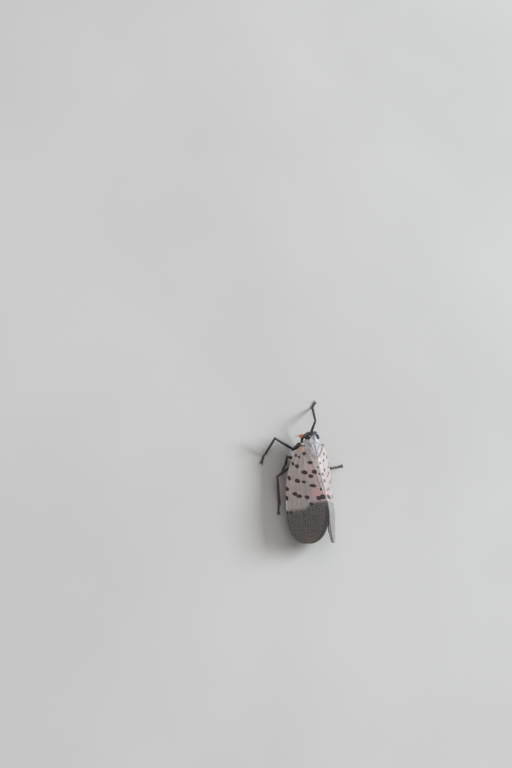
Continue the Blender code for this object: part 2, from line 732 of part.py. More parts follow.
def make_leg(kit, leg, joints, thorax_cutter):
    """One whole leg from its joints."""
    hip, trochanter, knee = (to_world(point) for point in joints[:3])
    hind = leg.startswith("hind")
    ankle = floor_point(*joints[3], ANKLE_HEIGHT)
    toe = floor_point(*joints[4], 0.0)
    coxa_cutter = leg_piece(kit, leg + "_coxa", hip, trochanter, COXA_PROFILE, thorax_cutter)
    femur_cutter = leg_piece(
        kit, leg + "_femur", trochanter, knee, FEMUR_PROFILE, coxa_cutter, FEMUR_FLATNESS
    )
    make_tibia(kit, leg, knee, ankle, hind, femur_cutter)
    make_tarsus(kit, leg, ankle, toe)


def make_body(kit):
    """The empty that carries the body, lifted and tilted head up."""
    body = bpy.data.objects.new("body_axis", None)
    kit["model"].objects.link(body)
    body.location = BODY_SHIFT + Vector((0, 0, BODY_HEIGHT))
    body.rotation_euler = (BODY_PITCH, 0, 0)
    return body


def main():
    clear_scene()
    kit = {
        "model": bpy.data.collections.new("spotted_lanternfly"),
        "cutters": bpy.data.collections.new("cutters"),
        "materials": {name: make_material(name) for name in COLOURS},
    }
    for collection in (kit["model"], kit["cutters"]):
        bpy.context.scene.collection.children.link(collection)
    kit["body"] = make_body(kit)
    bpy.context.view_layer.update()

    make_pronotum(kit)
    collar = make_pronotum_cutter(kit)
    head_cutter = make_head(kit, collar)
    thorax_cutter = make_thorax(kit, collar)
    make_mesonotum(kit)
    make_abdomen(kit)
    make_rostrum(kit)
    for tag, side in (("l", -1), ("r", 1)):
        make_tegmen(kit, "tegmen_" + tag, side)
        make_hindwing(kit, "hindwing_" + tag, side)
        make_tegula(kit, "tegula_" + tag, side, collar)
        eye_cutter = make_eye(kit, "eye_" + tag, side, head_cutter, collar)
        make_antenna(kit, "antenna_" + tag, side, (head_cutter, eye_cutter, collar))
    for leg, joints in LEG_JOINTS.items():
        make_leg(kit, leg, joints, thorax_cutter)


main()
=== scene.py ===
"""Looks of the spotted lanternfly: fine wings, plates, skins, eyes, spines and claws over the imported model.

Shapes are worked out in millimetres, the body's in its own level axes and the legs' over the floor, with
the same named sizes as the solids, and each piece is moved into the row frame when it is made.
"""

import math

import bmesh
import bpy
import numpy as np
from mathutils import Matrix, Vector, kdtree

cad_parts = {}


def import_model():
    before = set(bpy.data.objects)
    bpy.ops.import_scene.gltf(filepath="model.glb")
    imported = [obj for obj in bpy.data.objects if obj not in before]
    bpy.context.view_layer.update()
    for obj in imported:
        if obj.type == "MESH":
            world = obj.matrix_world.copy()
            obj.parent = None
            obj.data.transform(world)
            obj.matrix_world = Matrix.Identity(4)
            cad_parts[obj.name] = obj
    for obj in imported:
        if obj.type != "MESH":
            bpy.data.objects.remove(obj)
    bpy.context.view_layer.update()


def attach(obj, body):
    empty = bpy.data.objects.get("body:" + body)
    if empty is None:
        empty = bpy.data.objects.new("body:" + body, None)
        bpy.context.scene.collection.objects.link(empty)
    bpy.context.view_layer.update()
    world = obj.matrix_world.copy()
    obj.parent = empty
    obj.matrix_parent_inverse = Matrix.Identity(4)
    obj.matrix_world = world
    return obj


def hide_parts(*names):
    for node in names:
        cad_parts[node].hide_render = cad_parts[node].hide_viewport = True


IMAGE_SIZE = (512, 768)

# Stance of the body, in millimetres and as in the solids.
BODY_PITCH = math.radians(9.0)
BODY_PLACE = Vector((-1.13, 3.6, 5.6))
BODY_MM = Matrix.Translation(BODY_PLACE) @ Matrix.Rotation(BODY_PITCH, 4, "X")
TO_METRES = Matrix.Scale(0.001, 4)
BODY_SPACE = TO_METRES @ BODY_MM
FLOOR_SPACE = TO_METRES

# Camera: the photograph's scale, the way it looks in the body's axes, and the pixel a body point falls on.
LENS = 50.0
SENSOR = 36.0
PIXELS_PER_MM = 4.6
LOOK_BACK = Vector((-0.6, 0.0, 0.8))
LOOK_RIGHT = Vector((0.8, 0.0, 0.6))
AIM_POINT = Vector((0.0, -8.0, -1.2))
AIM_PIXEL = (309.2, 487.8)

# Forewing, as in the solids.
GAP = 0.3
MEMBRANE = 0.5
WING_LENGTH = 20.6
WING_START = 0.05
WING_BASE_Y = 0.9
WING_WIDTH = 8.7
WING_BASE_WIDTH = 3.95
WING_SHOULDER = 0.8
WING_SHOULDER_RUN = 0.6
WING_INNER_START = 2.6
WING_INNER_RUN = 2.35
WING_APEX_START = 14.0
WING_APEX_POWER = 2.2
RIDGE_LOW = 1.5
RIDGE_RISE = 4.0
RIDGE_RUN = 15.0
SLOPE_FRONT = math.radians(20.0)
SLOPE_REAR = math.radians(32.0)
SLOPE_RUN = 12.0
SLOPE_ROOT = math.radians(5.0)
SLOPE_ROOT_RUN = 4.0
SLOPE_CURVE = math.radians(24.6)
SLOPE_RIGHT_EXTRA = math.radians(3.0)
HIND_START, HIND_END = 1.5, 18.6
HIND_INNER = 0.75
HIND_OUTER_SHARE = 0.86

# How far the wing's edge dips under the mesonotum, and how its inner margin rounds the ridge.
ROOT_TUCK = 0.32
CREST_DROP = 0.22
CREST_RUN = 0.5
# How strongly a painted sheen, standing in for glancing light, pales the right wing's tip, and how dark a
# painted shadow of the gap between the tips makes the left tip's inner margin.
PAINTED_TIP_SHEEN = 0.32
PAINTED_GAP_SHADOW = 0.62

# Main veins of a forewing, their forks, and the seam of its inner field: along the wing, down its slope.
MAIN_VEINS = (
    ((0.4, 3.1), (2.0, 4.15), (4.0, 5.0), (8.0, 6.75), (12.0, 7.75), (16.0, 7.9), (19.3, 6.6)),
    ((0.4, 2.95), (4.0, 3.95), (8.0, 5.15), (12.0, 5.75), (19.6, 5.6)),
    ((0.4, 2.8), (4.0, 2.85), (8.0, 3.35), (12.0, 3.6), (19.8, 4.0)),
    ((1.6, 1.6), (3.5, 0.95), (6.0, 0.6), (9.0, 0.3), (11.2, 0.12)),
)
VEIN_FORKS = (
    ((2.6, 4.45), (6.0, 5.45), (11.0, 6.75), (18.6, 6.9)),
    ((4.6, 4.15), (8.5, 4.45), (12.0, 4.75), (19.5, 4.85)),
    ((5.0, 2.92), (8.5, 2.65), (12.0, 2.6), (19.2, 3.2)),
    ((7.0, 2.72), (9.5, 1.9), (13.0, 1.6), (18.4, 2.3)),
)
SUTURE = ((0.9, 2.35), (3.2, 1.62), (6.0, 1.02), (9.0, 0.5), (11.4, 0.1))
CROSS_VEINS = 34

# Tints of a forewing: strength, place along the wing, run along it, place down its slope, run down it.
PINK_PATCHES = ((0.80, 10.3, 1.3, 1.2, 1.5), (0.38, 5.5, 2.2, 1.7, 1.5), (0.10, 8.5, 2.4, 5.0, 2.2))
WARM_PATCHES = ((0.75, 0.75, 0.55, 2.9, 0.5), (0.25, 1.3, 0.9, 3.4, 0.8))
COOL_PATCHES = ((0.9, 9.4, 1.7, 3.4, 0.75), (0.4, 12.6, 1.2, 4.2, 1.4))
SMUDGES = ((0.6, 2.12, 0.17, 0.46, 0.17), (0.8, 7.64, 0.2, 0.16, 0.2))

# Black spots of the left forewing: along the wing, down its slope, half size across, half size along.
# The swell makes every spot larger than listed, on both forewings.
SPOT_SWELL = 1.14
SPOTS = (
    (2.02, 4.40, 0.22, 0.26),
    (1.62, 2.62, 0.35, 0.31),
    (2.34, 3.76, 0.25, 0.23),
    (3.53, 1.61, 0.48, 0.33),
    (3.80, 5.30, 0.27, 0.33),
    (4.32, 4.52, 0.40, 0.35),
    (5.64, 3.19, 0.58, 0.40),
    (5.51, 1.06, 0.52, 0.40),
    (6.44, 2.03, 0.48, 0.35),
    (6.87, 6.69, 0.33, 0.42),
    (7.45, 5.08, 0.48, 0.40),
    (7.66, 3.76, 0.37, 0.27),
    (8.45, 2.07, 0.60, 0.31),
    (9.14, 7.73, 0.40, 0.40),
    (10.20, 6.23, 0.48, 0.33),
    (10.68, 5.39, 0.52, 0.33),
    (10.89, 3.78, 0.46, 0.35),
    (11.09, 8.23, 0.35, 0.42),
    (11.05, 1.35, 0.48, 0.38),
    (10.78, 0.47, 0.55, 0.45),
    (12.30, 3.12, 0.42, 0.27),
    (14.17, 8.45, 0.27, 0.30),
    (14.09, 7.62, 0.27, 0.26),
    (4.50, 0.08, 0.18, 0.17),
    (5.93, 0.10, 0.19, 0.19),
    (9.19, 0.52, 0.20, 0.27),
)
# Spots that sit elsewhere on the right forewing than on the left, and how near one stands for the other.
RIGHT_SPOTS = (
    (3.03, 1.98, 0.32, 0.24),
    (3.60, 0.26, 0.27, 0.25),
    (5.09, 1.49, 0.34, 0.30),
    (6.00, 0.22, 0.30, 0.29),
    (5.75, 3.85, 0.40, 0.28),
    (6.36, 3.00, 0.36, 0.26),
    (7.39, 0.38, 0.30, 0.29),
    (9.14, 1.90, 0.40, 0.30),
)
SPOT_APART = 1.1
# Spots of the hindwings, in the same order of numbers.
HIND_SPOTS = (
    (5.2, 2.2, 0.42, 0.5),
    (6.4, 4.3, 0.5, 0.45),
    (7.9, 2.6, 0.45, 0.5),
    (8.6, 5.2, 0.5, 0.5),
    (9.9, 3.6, 0.42, 0.4),
    (5.6, 3.6, 0.3, 0.3),
    (10.2, 5.9, 0.35, 0.35),
)

# Thorax plates, eyes, feelers and the scales over the wing roots, as in the solids.
PRONOTUM_FRONT_Y = 3.68
PRONOTUM_REAR_Y = 1.75
PRONOTUM_ANGLE = math.radians(98.0)
MESONOTUM_FRONT_Y = 1.4
MESONOTUM_ARCH = 0.38
MESONOTUM_TIP_Y = -1.4
MESONOTUM_HALF_WIDTH = 2.04
MESONOTUM_RIM = 0.12
EYE_CENTRE = Vector((1.24, 2.95, -0.12))
EYE_RADII = Vector((0.54, 0.64, 0.76))
PEDICEL_CENTRE = Vector((1.8, 3.12, -1.58))
PEDICEL_RADIUS = 0.44
PEDICEL_LENGTH = 0.98
TEGULA_CENTRE = Vector((2.8, 1.3, 0.12))
TEGULA_RADII = Vector((0.46, 0.27, 0.28))

# Head from top to mouth: height, its face, its back, half width and how square it is.
HEAD_SECTIONS = (
    (1.02, 4.03, 3.93, 0.06, 2.0),
    (0.98, 4.08, 3.86, 0.24, 2.0),
    (0.76, 4.14, 3.60, 0.62, 2.4),
    (0.45, 4.12, 2.90, 0.92, 2.6),
    (0.00, 4.08, 2.45, 1.04, 2.8),
    (-0.60, 4.06, 2.36, 1.10, 3.0),
    (-1.30, 3.98, 2.40, 1.10, 2.8),
    (-1.95, 3.80, 2.50, 0.94, 2.5),
    (-2.50, 3.58, 2.66, 0.68, 2.2),
    (-3.00, 3.36, 2.86, 0.38, 2.0),
    (-3.12, 3.24, 2.98, 0.16, 2.0),
)
# Beak from the mouth back: x, y, z and radius.
BEAK = (
    (0, 3.1, -2.9, 0.24),
    (0, 2.98, -3.35, 0.27),
    (0, 2.5, -3.78, 0.3),
    (0, 1.4, -3.9, 0.29),
    (0, 0.0, -3.95, 0.27),
    (0, -1.6, -3.95, 0.25),
    (0, -3.4, -3.85, 0.07),
)
# Thorax from front to back: y, half width, top and bottom; and its folds: depth, y and width.
THORAX_SECTIONS = (
    (2.95, 0.55, -0.75, -1.75),
    (2.45, 0.72, -0.65, -1.95),
    (2.0, 1.0, -0.6, -2.2),
    (1.6, 1.4, -0.3, -2.7),
    (1.1, 1.75, 0.0, -3.0),
    (0.4, 2.05, 0.2, -3.2),
    (-0.8, 2.2, 0.35, -3.3),
    (-2.0, 2.2, 0.35, -3.2),
    (-3.0, 2.05, 0.15, -2.95),
    (-3.7, 1.8, 0.0, -2.75),
)
THORAX_FOLDS = ((1.0, 0.75, 0.1), (1.0, -1.15, 0.1), (0.6, -0.15, 0.07))
# Belly and, in the same order of numbers as the thorax, the egg-layer behind it.
BELLY_FRONT_Y = -3.3
BELLY_REAR_Y = -12.9
BELLY_RINGS = 7
EGG_LAYER = (
    (-12.95, 0.62, -0.3, -1.4),
    (-13.3, 0.55, -0.42, -1.35),
    (-13.7, 0.42, -0.55, -1.2),
    (-14.1, 0.12, -0.8, -1.0),
)

# Profiles: how far along, and the radius there. The bulb's and the spikes' are shares of their radius.
SPIKE_TAPER = ((0.0, 1.0), (0.35, 0.75), (0.7, 0.42), (1.0, 0.06))
BULB_PROFILE = (
    (0, 0.42),
    (0.06, 0.66),
    (0.14, 0.82),
    (0.35, 1.0),
    (0.62, 1.0),
    (0.82, 0.82),
    (0.93, 0.55),
    (1.0, 0.25),
)
STALK_PROFILE = ((0, 0.24), (0.4, 0.27), (0.75, 0.2), (1, 0.24))
COXA_PROFILE = ((0.0, 0.5), (0.3, 0.57), (0.65, 0.46), (0.9, 0.34), (1.0, 0.2))
FEMUR_PROFILE = (
    (0.0, 0.18),
    (0.05, 0.27),
    (0.12, 0.31),
    (0.3, 0.385),
    (0.6, 0.355),
    (0.85, 0.29),
    (0.95, 0.3),
    (1.0, 0.16),
)

# Legs, as in the solids: hip, trochanter, knee, then where the shin ends and the toe points on the floor.
TIBIA_RADIUS = 0.27
FOOT_RADIUS = 0.26
ANKLE_HEIGHT = 0.62
LEG_JOINTS = {
    "fore_l": ((-1.2, 1.4, -2.6), (-3.0, 0.3, -3.0), (-8.95, 2.45, -1.3), (-9.0, -0.95), (-9.9, -2.8)),
    "fore_r": ((1.2, 1.4, -2.6), (1.3, 0.9, -4.2), (2.4, 6.6, -2.1), (5.05, 9.6), (6.3, 11.2)),
    "mid_l": ((-1.4, -0.6, -2.9), (-2.75, -1.65, -3.5), (-6.1, -1.25, -0.9), (-3.9, -3.3), (-4.85, -4.95)),
    "mid_r": ((1.4, -0.4, -2.9), (2.7, -0.9, -3.5), (6.6, -3.7, -2.0), (10.4, -3.5), (12.2, -3.1)),
    "hind_l": ((-1.3, -2.2, -2.8), (-2.3, -2.9, -3.5), (-7.5, -5.6, -2.5), (-6.4, -11.6), (-6.6, -13.6)),
    "hind_r": ((1.3, -2.2, -2.8), (2.3, -2.9, -3.5), (7.0, -5.8, -2.8), (6.6, -12.0), (7.0, -14.0)),
}
UP = Vector((0, 0, 1))

# Stage: half the floor's side in metres, the world's light, and each light's name, direction, distance,
# size, power and colour.
FLOOR_HALF = 3.0
WORLD_COLOUR = (0.93, 0.92, 0.93, 1.0)
WORLD_STRENGTH = 0.46
LIGHTS = (
    ("key", (0.82, 0.18, 0.54), 1.3, 0.5, 20.0, (0.88, 0.955, 1.0)),
    ("fill", (-0.45, 0.2, 0.87), 1.4, 0.9, 3.2, (1.0, 0.97, 0.96)),
)


# Numbers and grids.


def smoothstep(x):
    """Rises from 0 to 1 with level ends."""
    x = np.clip(x, 0.0, 1.0)
    return x * x * (3 - 2 * x)


def turns(count):
    """Angles that go once round in equal steps."""
    return 2 * math.pi * np.arange(count) / count


def bump_at(x, centre, width):
    """A soft bump of height 1."""
    return np.exp(-(((x - centre) / width) ** 2))


def spline(rows, count):
    """A smooth curve through rows of numbers, as count rows."""
    rows = np.array(rows, float)
    padded = np.vstack([2 * rows[0] - rows[1], rows, 2 * rows[-1] - rows[-2]])
    place = np.linspace(0, len(rows) - 1, count)
    k = np.minimum(place.astype(int), len(rows) - 2)
    f = (place - k)[:, None]
    a, b, c, d = (padded[k + i] for i in range(4))
    return 0.5 * (2 * b + (c - a) * f + (2 * a - 5 * b + 4 * c - d) * f**2 + (3 * b - a - 3 * c + d) * f**3)


def grid_quads(rows, columns, wrap=False, offset=0):
    """The quads of a grid of points stored row by row; wrap closes each row into a ring."""
    i = np.arange(rows - 1)[:, None]
    j = np.arange(columns if wrap else columns - 1)[None, :]
    k = (j + 1) % columns
    corners = (i * columns + j, i * columns + k, (i + 1) * columns + k, (i + 1) * columns + j)
    return np.stack(np.broadcast_arrays(*corners), -1).reshape(-1, 4) + offset


def grid_normals(points):
    """Unit normals of a grid of points."""
    normal = np.cross(np.gradient(points, axis=1), np.gradient(points, axis=0))
    return normal / np.maximum(np.linalg.norm(normal, axis=-1, keepdims=True), 1e-9)


def unit_rows(rows):
    """Each row of three numbers brought to length 1."""
    return rows / np.maximum(np.linalg.norm(rows, axis=1, keepdims=True), 1e-6)


def on_side(point, side):
    """A point given on the right side, there or mirrored to the left."""
    return Vector((side * point.x, point.y, point.z))


def facing_out(points, faces):
    """The same closed surface with its faces turned outward."""
    volume = 0.0
    for block in faces:
        for k in range(1, block.shape[1] - 1):
            a, b, c = points[block[:, 0]], points[block[:, k]], points[block[:, k + 1]]
            volume += np.einsum("ij,ij->i", a, np.cross(b, c)).sum()
    return points, [block if volume > 0 else block[:, ::-1] for block in faces]


def slab(top, under):
    """A closed thin body between two grids of points, joined along their rim."""
    rows, columns = top.shape[:2]
    count = rows * columns
    index = np.arange(count).reshape(rows, columns)
    rim = np.concatenate([index[0, :-1], index[:-1, -1], index[-1, :0:-1], index[:0:-1, 0]])
    after = np.roll(rim, -1)
    quads = grid_quads(rows, columns)
    walls = np.stack([after, rim, rim + count, after + count], -1)
    points = np.vstack([top.reshape(-1, 3), under.reshape(-1, 3)])
    return facing_out(points, [quads, quads[:, ::-1] + count, walls])


def tube(rings):
    """A closed body through rings of equal length, each end closed by a fan."""
    rings = np.asarray(rings, float)
    count, sides = rings.shape[:2]
    points = np.vstack([rings.reshape(-1, 3), rings[0].mean(0), rings[-1].mean(0)])
    j = np.arange(sides)
    k = (j + 1) % sides
    last = (count - 1) * sides
    start = np.stack([k, j, np.full(sides, count * sides)], -1)
    end = np.stack([last + j, last + k, np.full(sides, count * sides + 1)], -1)
    return facing_out(points, [grid_quads(count, sides, wrap=True), start, end])


def joined(parts):
    """Several bodies as one set of points and faces."""
    points, faces, start = [], [], 0
    for part_points, part_faces in parts:
        points.append(part_points)
        faces.extend(block + start for block in part_faces)
        start += len(part_points)
    return np.vstack(points), faces


def superellipse(angle, power):
    """The unit outline that is a circle at power 2 and squarer above it."""
    c, s = np.cos(angle), np.sin(angle)
    return np.sign(c) * np.abs(c) ** (2 / power), np.sign(s) * np.abs(s) ** (2 / power)


def limb(path, radii, across=UP, sides=16, flatten=1.0, ribs=0.0, arms=3):
    """A limb through a path with a radius at each point; ribs gives its section that many arms."""
    path = [Vector(p) for p in path]
    angle = turns(sides)
    swell = 1 + ribs * np.cos(arms * (angle - math.pi / 2))
    rings = []
    for k, radius in enumerate(radii):
        along = (path[min(len(path) - 1, k + 1)] - path[max(0, k - 1)]).normalized()
        side = along.cross(across).normalized()
        up = side.cross(along)
        a, b = np.cos(angle) * radius * flatten * swell, np.sin(angle) * radius * swell
        rings.append(np.array(path[k]) + np.outer(a, np.array(side)) + np.outer(b, np.array(up)))
    return tube(rings)


def segment(start, end, profile, count=24, **shape):
    """A straight limb whose profile lists how far along each radius lies, rounded between them."""
    shares, radii = zip(*profile)
    place = np.linspace(0, 1, count)
    radius = np.interp(place, shares, radii)
    soft = radius.copy()
    soft[1:-1] = (radius[:-2] + 2 * radius[1:-1] + radius[2:]) / 4
    return limb([start.lerp(end, float(p)) for p in place], soft, **shape)


def ball(centre, radii, detail=4):
    """A round body."""
    bm = bmesh.new()
    bmesh.ops.create_icosphere(bm, subdivisions=detail, radius=1.0)
    points = np.array([v.co[:] for v in bm.verts]) * np.array(radii) + np.array(centre)
    faces = np.array([[v.index for v in f.verts] for f in bm.faces])
    bm.free()
    return points, [faces]


def spikes(roots, tips, radii, sides, bow):
    """Many tapering spikes from their sunk roots to their tips, bowed a little, as one set of faces."""
    parts = []
    for root, tip, radius in zip(roots, tips, radii):
        root, tip = Vector(root), Vector(tip)
        length = (tip - root).length
        side = (tip - root).normalized().orthogonal().normalized()
        path = [root.lerp(tip, f) + side * (bow * length * 4 * f * (1 - f)) for f, _ in SPIKE_TAPER]
        parts.append(limb(path, [radius * share for _, share in SPIKE_TAPER], side, sides))
    return joined(parts)


def both_faces(**fields):
    """Numbers for each point of a grid, for both faces of the slab made on it."""
    return {name: np.concatenate([values.ravel(), values.ravel()]) for name, values in fields.items()}


# Making pieces.


def bare_mesh(name, points, faces):
    """A mesh from arrays of points and faces."""
    mesh = bpy.data.meshes.new(name)
    mesh.from_pydata(points.tolist(), [], [tuple(f) for block in faces for f in block.tolist()])
    mesh.update()
    return mesh


def fused(parts, voxel, rounds):
    """One skin round overlapping closed bodies, without the walls inside them."""
    mesh = bare_mesh("fusing", *joined(parts))
    worker = bpy.data.objects.new("fusing", mesh)
    bpy.context.scene.collection.objects.link(worker)
    remesh = worker.modifiers.new("remesh", "REMESH")
    remesh.mode = "VOXEL"
    remesh.voxel_size = voxel
    soften = worker.modifiers.new("soften", "SMOOTH")
    soften.factor = 0.5
    soften.iterations = rounds
    graph = bpy.context.evaluated_depsgraph_get()
    skin = bpy.data.meshes.new_from_object(worker.evaluated_get(graph))
    points = np.zeros(len(skin.vertices) * 3, np.float32)
    skin.vertices.foreach_get("co", points)
    normals = np.zeros(len(skin.vertices) * 3, np.float32)
    skin.vertex_normals.foreach_get("vector", normals)
    faces = {}
    for polygon in skin.polygons:
        faces.setdefault(len(polygon.vertices), []).append(polygon.vertices[:])
    bpy.data.objects.remove(worker)
    bpy.data.meshes.remove(mesh)
    bpy.data.meshes.remove(skin)
    blocks = [np.array(faces[k]) for k in sorted(faces)]
    return points.reshape(-1, 3).astype(float), blocks, normals.reshape(-1, 3).astype(float)


def add_piece(name, shape, material, nodes=(), space=BODY_SPACE, fields=None):
    """A piece of the insect: its own place in millimetres is kept on it for the materials to read."""
    points, faces = shape
    mesh = bare_mesh(name, points, faces)
    place = mesh.attributes.new("mm", "FLOAT_VECTOR", "POINT")
    place.data.foreach_set("vector", points.astype(np.float32).ravel())
    for field, values in (fields or {}).items():
        stored = mesh.attributes.new(field, "FLOAT", "POINT")
        stored.data.foreach_set("value", np.asarray(values, np.float32).ravel())
    mesh.transform(space)
    mesh.materials.append(material)
    mesh.shade_smooth()
    piece = bpy.data.objects.new(name, mesh)
    bpy.context.scene.collection.objects.link(piece)
    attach(piece, "root")
    if nodes:
        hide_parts(*nodes)


# Materials.


def srgb(*steps):
    """A colour from 0 to 255 steps as the shader's own numbers."""
    return tuple(((c / 255 + 0.055) / 1.055) ** 2.4 if c > 10 else c / 255 / 12.92 for c in steps) + (1.0,)


class Finish:
    """A procedural material, written as a chain of small steps."""

    def __init__(self, name):
        self.material = bpy.data.materials.new(name)
        self.material.use_nodes = True
        self.tree = self.material.node_tree
        self.shader = self.tree.nodes["Principled BSDF"]

    def node(self, kind, inputs=None, **settings):
        """A new node with its inputs and settings."""
        made = self.tree.nodes.new(kind)
        for key, value in settings.items():
            setattr(made, key, value)
        for key, value in (inputs or {}).items():
            self.put(made.inputs[key], value)
        return made

    def put(self, socket, value):
        """Links another node's output to a socket, or sets its value."""
        if isinstance(value, bpy.types.NodeSocket):
            self.tree.links.new(value, socket)
        else:
            socket.default_value = value

    def field(self, name):
        """A number stored on the mesh."""
        return self.node("ShaderNodeAttribute", attribute_name=name).outputs["Fac"]

    def place(self, stretch=(1, 1, 1)):
        """The point's own place in millimetres, stretched for grain that runs one way."""
        stored = self.node("ShaderNodeAttribute", attribute_name="mm").outputs["Vector"]
        if stretch == (1, 1, 1):
            return stored
        return self.node("ShaderNodeMapping", {"Vector": stored, "Scale": stretch}).outputs["Vector"]

    def math(self, operation, *values):
        """A sum, difference or product of values."""
        made = self.node("ShaderNodeMath", operation=operation)
        for socket, value in zip(made.inputs, values):
            self.put(socket, value)
        return made.outputs[0]

    def weak(self, share, amount):
        """The same value at part of its strength."""
        return self.math("MULTIPLY", share, amount)

    def ragged(self, noise, amount):
        """A shift to both sides of 0, to make a border uneven."""
        return self.weak(self.math("SUBTRACT", noise, 0.5), amount)

    def step(self, value, low, high, to_low=0.0, to_high=1.0):
        """A smooth step between two values, from to_low to to_high."""
        inputs = {"Value": value, "From Min": low, "From Max": high, "To Min": to_low, "To Max": to_high}
        return self.node("ShaderNodeMapRange", inputs, interpolation_type="SMOOTHSTEP").outputs["Result"]

    def noise(self, scale, detail=3.0, stretch=(1, 1, 1)):
        """A cloudy pattern, finer the larger its scale."""
        inputs = {"Vector": self.place(stretch), "Scale": scale, "Detail": detail, "Roughness": 0.55}
        return self.node("ShaderNodeTexNoise", inputs).outputs["Fac"]

    def cells(self, scale):
        """Distance to the nearest of many scattered points."""
        return self.node("ShaderNodeTexVoronoi", {"Vector": self.place(), "Scale": scale}).outputs["Distance"]

    def mix(self, share, first, second):
        """The first colour with a share of the second."""
        made = self.node("ShaderNodeMix", data_type="RGBA")
        self.put(made.inputs["Factor"], share)
        self.put([s for s in made.inputs if s.name == "A" and s.type == "RGBA"][0], first)
        self.put([s for s in made.inputs if s.name == "B" and s.type == "RGBA"][0], second)
        return [s for s in made.outputs if s.type == "RGBA"][0]

    def mottle(self, noise, low, high, first, second):
        """Two colours in steps of 255 that follow a noise."""
        return self.mix(self.step(noise, low, high), srgb(*first), srgb(*second))

    def tint(self, colour, share, *steps):
        """The colour with a share of another, which is given in steps of 255."""
        return self.mix(share, colour, srgb(*steps))

    def tints(self, colour, *rows):
        """The colour with several others, each as strong as a stored number says."""
        for name, amount, *steps in rows:
            colour = self.tint(colour, self.weak(self.field(name), amount), *steps)
        return colour

    def relief(self, height, distance, strength):
        """A bump of that many millimetres."""
        inputs = {"Height": height, "Distance": distance * 0.001, "Strength": strength}
        return self.node("ShaderNodeBump", inputs).outputs["Normal"]

    def finish(self, colour, roughness, normal=None, **constants):
        """Closes the chain at the shader; the constants are set on its sockets."""
        self.put(self.shader.inputs["Base Color"], colour)
        self.put(self.shader.inputs["Roughness"], roughness)
        if normal is not None:
            self.put(self.shader.inputs["Normal"], normal)
        for name, value in constants.items():
            self.shader.inputs[name.replace("_", " ")].default_value = value
        return self.material


def tegmen_finish():
    """Greyish leathery wing: pink tints, pale veins, black spots, and dark cells in a pale net at its tip,
    with a painted sheen on the right tip and a painted shadow by the left tip's inner margin.
    """
    f = Finish("tegmen")
    broad, fine = f.noise(0.45), f.noise(14.0)
    streaks = f.step(f.noise(2.2, 4.0, (1.0, 0.22, 1.0)), 0.45, 0.72)
    net = f.step(f.field("net"), 0.015, -0.015)
    vein = f.step(f.field("vein"), 0.03, -0.03)
    zone = f.field("zone")
    colour = f.mottle(broad, 0.35, 0.65, (168, 158, 154), (182, 171, 168))
    colour = f.tint(colour, f.weak(streaks, 0.5), 156, 145, 144)
    colour = f.tints(
        colour,
        ("cool", 0.6, 138, 144, 152),
        ("pink", 1.0, 212, 156, 156),
        ("warm", 1.0, 206, 160, 124),
        ("pale", 1.0, 214, 209, 198),
    )
    colour = f.tint(colour, f.weak(net, 0.2), 140, 130, 130)
    colour = f.tint(colour, f.weak(vein, 0.28), 206, 192, 186)
    colour = f.tint(colour, f.step(f.field("suture"), 0.04, -0.02, 0.0, 0.4), 122, 110, 108)
    colour = f.tints(colour, ("smudge", 1.0, 96, 90, 92))
    colour = f.mix(zone, colour, f.mottle(fine, 0.3, 0.7, (120, 114, 112), (142, 136, 133)))
    dark = f.mix(f.field("tone"), srgb(44, 41, 43), srgb(72, 67, 68))
    cell = f.math("MULTIPLY", f.step(f.field("cell"), 0.012, -0.012), f.step(zone, 0.15, 0.95))
    colour = f.mix(cell, colour, dark)
    rim = f.math("MULTIPLY", f.field("rim"), f.step(broad, 0.3, 0.6, 0.3, 0.55))
    colour = f.tint(colour, rim, 124, 102, 88)
    # Painted light: a pale sheen over the right wing's tip, and a dark shadow along the left tip's inner
    # margin.
    colour = f.tints(colour, ("painted_sheen", 1.0, 196, 192, 190), ("gap_shadow", 1.0, 40, 37, 40))
    edge = f.math("ADD", f.field("spot"), f.ragged(f.noise(7.0, 2.0), 0.06))
    colour = f.tint(colour, f.step(edge, 0.11, -0.02, 0.0, 0.4), 104, 84, 84)
    ink = f.mottle(broad, 0.3, 0.7, (38, 30, 36), (50, 41, 46))
    colour = f.mix(f.step(edge, 0.03, -0.03), colour, ink)
    height = f.math("ADD", f.weak(fine, 0.5), f.weak(f.noise(45.0, 2.0), 0.35))
    height = f.math("ADD", height, f.weak(vein, 0.8))
    rough = f.step(fine, 0.3, 0.7, 0.36, 0.48)
    relief = f.relief(height, 0.012, 0.8)
    return f.finish(colour, rough, relief, Specular_IOR_Level=0.45, Sheen_Weight=0.3, Sheen_Roughness=0.35)


def hindwing_finish():
    """Red membrane with black spots, a white band and a black tip."""
    f = Finish("hindwing")
    along = f.math("ADD", f.field("along"), f.ragged(f.noise(1.6), 1.6))
    colour = f.mottle(f.noise(0.7), 0.3, 0.7, (176, 44, 36), (198, 66, 50))
    colour = f.tint(colour, f.step(along, 11.2, 11.7), 224, 218, 206)
    colour = f.tint(colour, f.step(along, 13.4, 13.9), 30, 26, 28)
    colour = f.tint(colour, f.step(f.field("spot"), 0.03, -0.03), 28, 22, 24)
    colour = f.tint(colour, f.step(f.field("vein"), 0.02, -0.01, 0.0, 0.6), 92, 30, 28)
    rough = f.step(f.noise(9.0), 0.3, 0.7, 0.36, 0.5)
    return f.finish(colour, rough, f.relief(f.noise(20.0), 0.01, 0.7))


